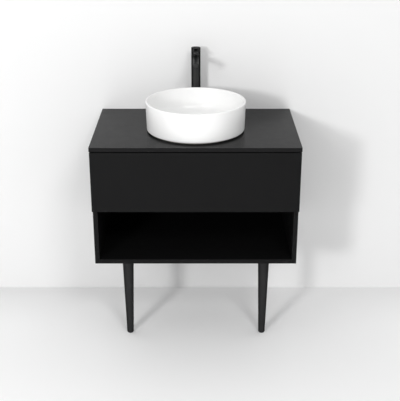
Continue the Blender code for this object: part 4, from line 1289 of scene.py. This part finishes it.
@dataclass
class Tap:
    """The tall black mixer: foot ring, column, spout with its outlet screen, cap and lever."""

    sides: int = 96
    outlet_sides: int = 64
    edge: float = 0.0005
    cap_edge: float = 0.0014
    cap_wall: float = 0.0038
    cap_roof: float = 0.0018
    spout_edge: float = 0.0034
    spout_start: float = 0.0135
    socket: float = 0.0163
    socket_depth: float = 0.012
    bore: float = 0.0115
    chamber: float = 0.0128
    cell: float = 0.0012
    slot_play: float = 0.0005
    lever_corner: float = 0.0034
    lever_nose: float = 0.0030
    carved_deg: float = 32.0

    def build(self, repeats: Repeats) -> None:
        """Makes every piece of the tap above the worktop."""
        self.axis = upright("tap_body")
        self.build_column()
        self.build_spout()
        self.build_outlet(repeats.screen)
        self.build_cap()
        self.build_lever()
        for node, finish in (("tap_cartridge", WHITE_PLASTIC), ("cartridge_nut", BRASS), ("lever_pin", ZINC)):
            keep_node(node, finish)

    def build_column(self) -> None:
        """The column with its chamber, and the ring at its foot."""
        low, high, radius = measured("tap_body")
        roof, floor = low.z + self.socket_depth, high.z - self.socket_depth
        column = [
            (self.bore, roof), (self.socket, roof), (self.socket, low.z), (radius, low.z, self.edge),
            (radius, high.z, self.edge), (self.chamber, high.z, 0.0003), (self.chamber, floor),
            (self.bore, floor),
        ]
        lathe("tap_column", "tap_body", column, COATING, self.axis, self.sides, 4)
        low, high, outer = measured("tap_foot_ring")
        ring = [(self.socket, low.z), (outer, low.z, 0.0003), (outer, high.z, 0.0016), (self.socket, high.z)]
        lathe("tap_foot", "tap_foot_ring", ring, COATING, self.axis, self.sides)

    def build_spout(self) -> None:
        """The straight spout, from inside the column's wall, with a recess under its end."""
        low, high, radius = measured("tap_spout")
        level = high.z - radius
        start, reach = self.spout_start, self.axis.y - low.y
        spout = [(0, start), (radius, start), (radius, reach, self.spout_edge), (0, reach)]
        place = Vector((0, self.axis.y, level))
        bar = turned(rounded(spout, closed=False), place, self.sides, Axis.FRONT)
        low, high, outer = measured("tap_aerator")
        below, hole = low.z - 0.01, outer + 0.0003
        recess = [(0, below), (hole, below), (hole, level), (0, level)]
        bar = carve(bar, turned(recess, upright("tap_aerator"), self.outlet_sides))
        add_piece("tap_spout_bar", bar, COATING, "tap_spout", sharp_deg=self.carved_deg)

    def build_outlet(self, screen: Pattern) -> None:
        """The outlet's ring and its screen."""
        low, high, outer = measured("tap_aerator")
        axis = upright("tap_aerator")
        roof, inner = low.z + 0.0024, outer - 0.0015
        ring = [
            (0, roof), (inner, roof), (inner, low.z, 0.0005), (outer, low.z, 0.0005),
            (outer, high.z, 0.0005), (0, high.z),
        ]
        lathe("tap_outlet_ring", "tap_aerator", ring, COATING, axis, self.outlet_sides, 4)
        spot = axis + Vector((0, 0, low.z + 0.002))
        sizes = {"Cell": self.cell, "Reach": outer - 0.0021, "Depth": 0.0012}
        screen.place("tap_outlet_screen", BLACK_PLASTIC, "cabinet", spot, **sizes)

    def build_cap(self) -> None:
        """The turning cap, hollow below, with the slot that the lever tips in."""
        low, high, radius = measured("handle_cap")
        roof, hollow = high.z - self.cap_roof, radius - self.cap_wall
        outline = [
            (0, roof), (hollow, roof, 0.0005), (hollow, low.z, 0.0003), (radius, low.z, self.edge),
            (radius, high.z, self.cap_edge), (0, high.z),
        ]
        cap = turned(rounded(outline, 6, closed=False), self.axis, self.sides)
        lever_low, _, lever_half = measured("handle_lever")
        half = lever_half + self.slot_play
        slot = rounded(box_corners((-half, lever_low.z - 0.0006), (half, high.z - 0.0022), 0.0012), 4)
        cap = carve(cap, swept(slot, "Y", self.axis.y - radius * 1.5, self.axis.y))
        add_piece("tap_handle_cap", cap, COATING, "handle_cap", "handle", self.carved_deg)

    def build_lever(self) -> None:
        """The flat lever: a bar with well rounded edges that thins towards a rounded end."""
        low, high, half_wide = measured("handle_lever")
        half_thick, level = (high.z - low.z) / 2, (high.z + low.z) / 2
        length, nose = high.y - low.y, self.lever_nose
        steps = [(0.0, 0.25), (0.0004, 0.6), (0.0011, 0.86), (0.002, 0.965), (nose, 1.0)]
        steps += [(length * share, 1.0) for share in (0.25, 0.5, 0.62, 0.8)]
        steps += [(length - 0.0012, 1.0), (length - 0.0003, 0.94), (length, 0.8)]
        bm = bmesh.new()
        stations = []
        for along, fill in steps:
            thin = 0.78 + 0.22 * min(1.0, along / (length * 0.62))
            inset = nose * (1 - fill)
            wide, tall = half_wide - inset, half_thick * thin - inset * 0.8
            ring = rounded(box_corners((-wide, -tall), (wide, tall), min(self.lever_corner, tall * 0.96)), 6)
            stations.append([bm.verts.new((x, low.y + along, level + z)) for x, z in ring])
        skin(bm, stations)
        add_piece("tap_lever", bm, COATING, "handle_lever", "lever")


@dataclass
class TapFixing:
    """The threaded shank under the worktop, its washers and nut, and the hose inlets."""

    sides: int = 64
    pitch: float = 0.0015
    shank_wall: float = 0.005
    play: float = 0.0003
    inlet_wall: float = 0.0018
    inlet_thread: float = 0.012
    inlet_pitch: float = 0.001

    def build(self) -> None:
        """Makes the pieces under the worktop."""
        axis = upright("tap_shank")
        low, high, outer = measured("tap_shank")
        bore = outer - self.shank_wall
        thread_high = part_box("worktop")[1].z - 0.002
        outline = [(bore, low.z + 0.0005), (bore + 0.0005, low.z), (outer - 0.0009, low.z)]
        outline += thread_points(outer, low.z + 0.0009, thread_high, self.pitch)
        outline += [(outer - 0.0004, high.z), (bore, high.z)]
        shank = turned(outline, axis, self.sides, swell=threaded(outer, 0.0007, self.pitch))
        add_piece("tap_shank_threaded", shank, BRASS, "tap_shank")
        hole = outer + self.play
        for node, finish, soft in (("tap_rubber_washer", RUBBER, 0.0009), ("tap_steel_washer", ZINC, 0.0003)):
            low, high, ring = measured(node)
            washer = [(hole, low.z), (ring, low.z, soft), (ring, high.z, soft), (hole, high.z)]
            lathe(node + "_ring", node, washer, finish, axis, self.sides, 4)
        add_piece("tap_back_nut", nut_shape("tap_nut", hole, axis), BRASS, "tap_nut")
        for side in Side:
            self.build_inlet("hose_inlet_" + side.word)

    def build_inlet(self, node: str) -> None:
        """A threaded tail that a supply hose screws on to."""
        low, high, radius = measured(node)
        inner, waist, top = radius - self.inlet_wall, radius - 0.0001, low.z + self.inlet_thread
        outline = [(inner, low.z + 0.0004), (inner + 0.0004, low.z), (radius - 0.0006, low.z)]
        outline += thread_points(radius, low.z + 0.0006, top, self.inlet_pitch)
        outline += [(waist, low.z + 0.013), (waist, high.z), (inner, high.z)]
        thread = threaded(radius, 0.0005, self.inlet_pitch)
        inlet = turned(outline, upright(node, aside=True), 40, swell=thread)
        add_piece(node + "_tail", inlet, BRASS, node)


# ---------------------------------------------------------------- drawer


@dataclass
class Drawer:
    """The drawer's front and its box, with a bay that clears the trap."""

    front_edge: float = 0.0010
    board_edge: float = 0.0005
    screw: float = 0.0034
    screw_inset: float = 0.006
    screw_rises: Triple = (0.030, 0.075, 0.120)
    boards: tuple[str, ...] = (
        "drawer_side_left", "drawer_side_right", "drawer_back_left", "drawer_back_right",
        "trap_bay_left", "trap_bay_right", "trap_bay_front", "drawer_bottom",
    )

    def build(self, screws: Screws) -> None:
        """Makes the front, the box and the box's screws."""
        from_node("drawer_front_board", "drawer_front", self.front_edge, LACQUER, "drawer", 3)
        for node in self.boards:
            from_node(node + "_board", node, self.board_edge, DRAWER_FOIL, "drawer")
        for side in Side:
            low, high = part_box("drawer_side_" + side.word)
            face = high.x if side is Side.RIGHT else low.x
            spots = [Vector((face, high.y - self.screw_inset, low.z + rise)) for rise in self.screw_rises]
            screws.drive("drawer_screws_" + side.word, spots, (side.value, 0, 0), self.screw, "drawer")


@dataclass
class Runners:
    """Ball-bearing runners of three members each, with their balls."""

    bend: float = 0.0004
    sheet: float = 0.0012
    ball: float = 0.00105
    step: float = 0.0062
    balls: int = 24
    screw: float = 0.0032
    screw_shares: Triple = (0.08, 0.5, 0.92)

    def build(self, repeats: Repeats) -> None:
        """Makes both runners."""
        for side in Side:
            bodies = {"outer": "cabinet", "middle": "runner_" + side.word, "inner": "drawer"}
            for member, body in bodies.items():
                node = f"runner_{member}_{side.word}"
                from_node(node + "_channel", node, self.bend, ZINC, body)
            self.build_balls(side, repeats.balls)
            self.build_screws(side, repeats.screws)

    def build_balls(self, side: Side, balls: Pattern) -> None:
        """The balls above and below the middle member, in the gaps on both its faces."""
        outer, member, inner = (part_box(f"runner_{m}_{side.word}") for m in ("outer", "middle", "inner"))
        x = (member[0].x + member[1].x) / 2
        rear = member[0].y + (member[1].y - member[0].y) * 0.54
        front = member[0].y + 0.010
        gaps = {
            "upper_rear": (rear, (outer[1].z + member[1].z - self.sheet) / 2),
            "lower_rear": (rear, (outer[0].z + member[0].z + self.sheet) / 2),
            "upper_front": (front, (member[1].z + inner[1].z - self.sheet) / 2),
            "lower_front": (front, (member[0].z + inner[0].z + self.sheet) / 2),
        }
        sizes = {"Count": self.balls, "Step": self.step, "Ball_Radius": self.ball}
        for gap, (start, z) in gaps.items():
            name = f"runner_balls_{gap}_{side.word}"
            balls.place(name, ZINC, "runner_" + side.word, Vector((x, start, z)), **sizes)

    def build_screws(self, side: Side, screws: Screws) -> None:
        """The screws that hold the outer member to the carcass."""
        low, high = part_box("runner_outer_" + side.word)
        face = high.x - self.sheet if side is Side.RIGHT else low.x + self.sheet
        z = (low.z + high.z) / 2
        spots = [Vector((face, low.y + share * (high.y - low.y), z)) for share in self.screw_shares]
        screws.drive("runner_screws_" + side.word, spots, (-side.value, 0, 0), self.screw)


# ---------------------------------------------------------------- studio


@dataclass(frozen=True)
class Lamp:
    """A square soft light that looks at a point."""

    name: str
    spot: Triple
    side: float
    watts: float
    aim: Triple = (0.0, 0.0, 0.55)

    def build(self) -> None:
        """Hangs the light."""
        data = bpy.data.lights.new(self.name, "AREA")
        data.shape, data.size, data.energy = "SQUARE", self.side, self.watts
        lamp = bpy.data.objects.new(self.name, data)
        lamp.visible_camera = False
        lamp.location = self.spot
        lamp.rotation_euler = (Vector(self.aim) - Vector(self.spot)).to_track_quat("-Z", "Y").to_euler()
        bpy.context.scene.collection.objects.link(lamp)


@dataclass
class Studio:
    """A pale floor and wall, soft lights and the camera."""

    reach: float = 6.0
    wall_height: float = 4.0
    cove: float = 0.012
    gap: float = 0.0003
    wall_paper: Triple = (0.80, 0.80, 0.80)
    floor_paper: Triple = (0.92, 0.92, 0.92)
    sky: float = 0.54
    camera_spot: Triple = (0.0170, -3.3459, 1.9143)
    camera_down_deg: float = 22.303
    lens_mm: float = 78.354
    sensor_mm: float = 36.0
    clip: Pair = (0.05, 60.0)
    near_wall: float = 0.35
    lamps: tuple[Lamp, ...] = (
        Lamp("key_left", (-2.663, -5.116, 2.204), 0.65, 102.0),
        Lamp("key_soft", (-2.403, -4.926, 2.990), 1.2, 40.0),
        Lamp("fill_right", (1.461, -4.497, 4.244), 1.3, 77.0),
        Lamp("top", (0.0, -0.868, 5.474), 4.0, 18.0),
    )

    def build(self) -> None:
        """Sets up the stage, the lights and the camera."""
        self.build_floor()
        self.build_wall()
        self.build_sky()
        for lamp in self.lamps:
            lamp.build()
        self.build_camera()

    def paper(self, name: str, colour: Triple) -> NodeSheet:
        """A matt pale paper with a faint drift in tone."""
        sheet = NodeSheet(name)
        light = tuple(min(1.0, c * 1.01) for c in colour)
        tone = sheet.blend(sheet.noise(0.8), colour, light)
        sheet.set(Base_Color=tone, Roughness=0.9, Specular_IOR_Level=0.1)
        return sheet

    def stand(
        self, name: str, spots: Sequence[Triple], faces: Sequence[Sequence[int]], sheet: NodeSheet,
        clear: Socket,
    ) -> None:
        """Makes a part of the stage that lets light through where it is told to.

        Args:
            name: the part's name.
            spots: its points.
            faces: its faces.
            sheet: its material.
            clear: 1 where it is see-through and 0 where it isn't.
        """
        mixed = sheet.add("ShaderNodeMixShader")
        clear_shader = sheet.add("ShaderNodeBsdfTransparent")
        for socket, value in zip(mixed.inputs, (clear, sheet.shader.outputs[0], clear_shader.outputs[0])):
            sheet.feed(socket, value)
        sheet.feed(sheet.tree.nodes["Material Output"].inputs["Surface"], mixed.outputs[0])
        mesh = bpy.data.meshes.new(name)
        mesh.from_pydata(spots, [], faces)
        mesh.shade_smooth()
        mesh.materials.append(sheet.material)
        part = bpy.data.objects.new(name, mesh)
        bpy.context.scene.collection.objects.link(part)

    def build_floor(self) -> None:
        """The floor, a hair below the glides. It shows from above only, so that the underside can be seen."""
        low, r = CAD_BOX[0].z - self.gap, self.reach
        sheet = self.paper("pale_floor", self.floor_paper)
        below = sheet.add("ShaderNodeNewGeometry").outputs["Backfacing"]
        spots = [(-r, -r, low), (r, -r, low), (r, r, low), (-r, r, low)]
        self.stand("floor", spots, [(0, 1, 2, 3)], sheet, below)

    def build_wall(self) -> None:
        """The wall, which curves into the floor. It shows from the front only and lets near light by,
        so that the vanity's back can be seen and is lit."""
        y, low = CAD_BOX[1].y + self.gap, CAD_BOX[0].z - self.gap / 2
        curve = [
            (y - self.cove + self.cove * math.sin(a), low + self.cove - self.cove * math.cos(a))
            for a in (math.pi / 2 * i / 6 for i in range(7))
        ]
        curve.append((y, self.wall_height))
        spots = [(x, *point) for point in curve for x in (-self.reach, self.reach)]
        faces = [(2 * i, 2 * i + 1, 2 * i + 3, 2 * i + 2) for i in range(len(curve) - 1)]
        sheet = self.paper("pale_wall", self.wall_paper)
        path = sheet.add("ShaderNodeLightPath").outputs
        near = sheet.math("LESS_THAN", path["Ray Length"], self.near_wall)
        soft = sheet.math("MAXIMUM", path["Is Diffuse Ray"], path["Is Shadow Ray"])
        behind = sheet.add("ShaderNodeNewGeometry").outputs["Backfacing"]
        clear = sheet.math("MAXIMUM", behind, sheet.math("MULTIPLY", near, soft))
        self.stand("wall", spots, faces, sheet, clear)

    def build_sky(self) -> None:
        """A plain pale surround."""
        world = bpy.data.worlds.new("surround")
        world.use_nodes = True
        sky = world.node_tree.nodes["Background"].inputs
        sky["Color"].default_value, sky["Strength"].default_value = (1.0, 1.0, 1.0, 1.0), self.sky
        bpy.context.scene.world = world

    def build_camera(self) -> None:
        """The camera, in front of the vanity and looking down on it."""
        data = bpy.data.cameras.new("camera")
        data.lens, data.sensor_width = self.lens_mm, self.sensor_mm
        data.clip_start, data.clip_end = self.clip
        camera = bpy.data.objects.new("camera", data)
        camera.location = self.camera_spot
        camera.rotation_euler = (math.radians(90 - self.camera_down_deg), 0, 0)
        scene = bpy.context.scene
        scene.collection.objects.link(camera)
        scene.camera = camera
        scene.view_settings.view_transform = "Standard"


def main() -> None:
    """Builds every sub-assembly in order, then the studio."""
    logging.basicConfig(level=logging.INFO, format="%(name)s: %(message)s")
    repeats = Repeats()
    Cabinet().build()
    Hanging().build(repeats.screws)
    Legs().build(repeats.screws)
    Basin().build()
    Waste().build()
    Trap().build(repeats.ribs)
    Tap().build(repeats)
    TapFixing().build()
    Drawer().build(repeats.screws)
    Runners().build(repeats)
    bpy.data.objects.remove(repeats.screws.head)
    Studio().build()


if __name__ == "__main__":
    main()
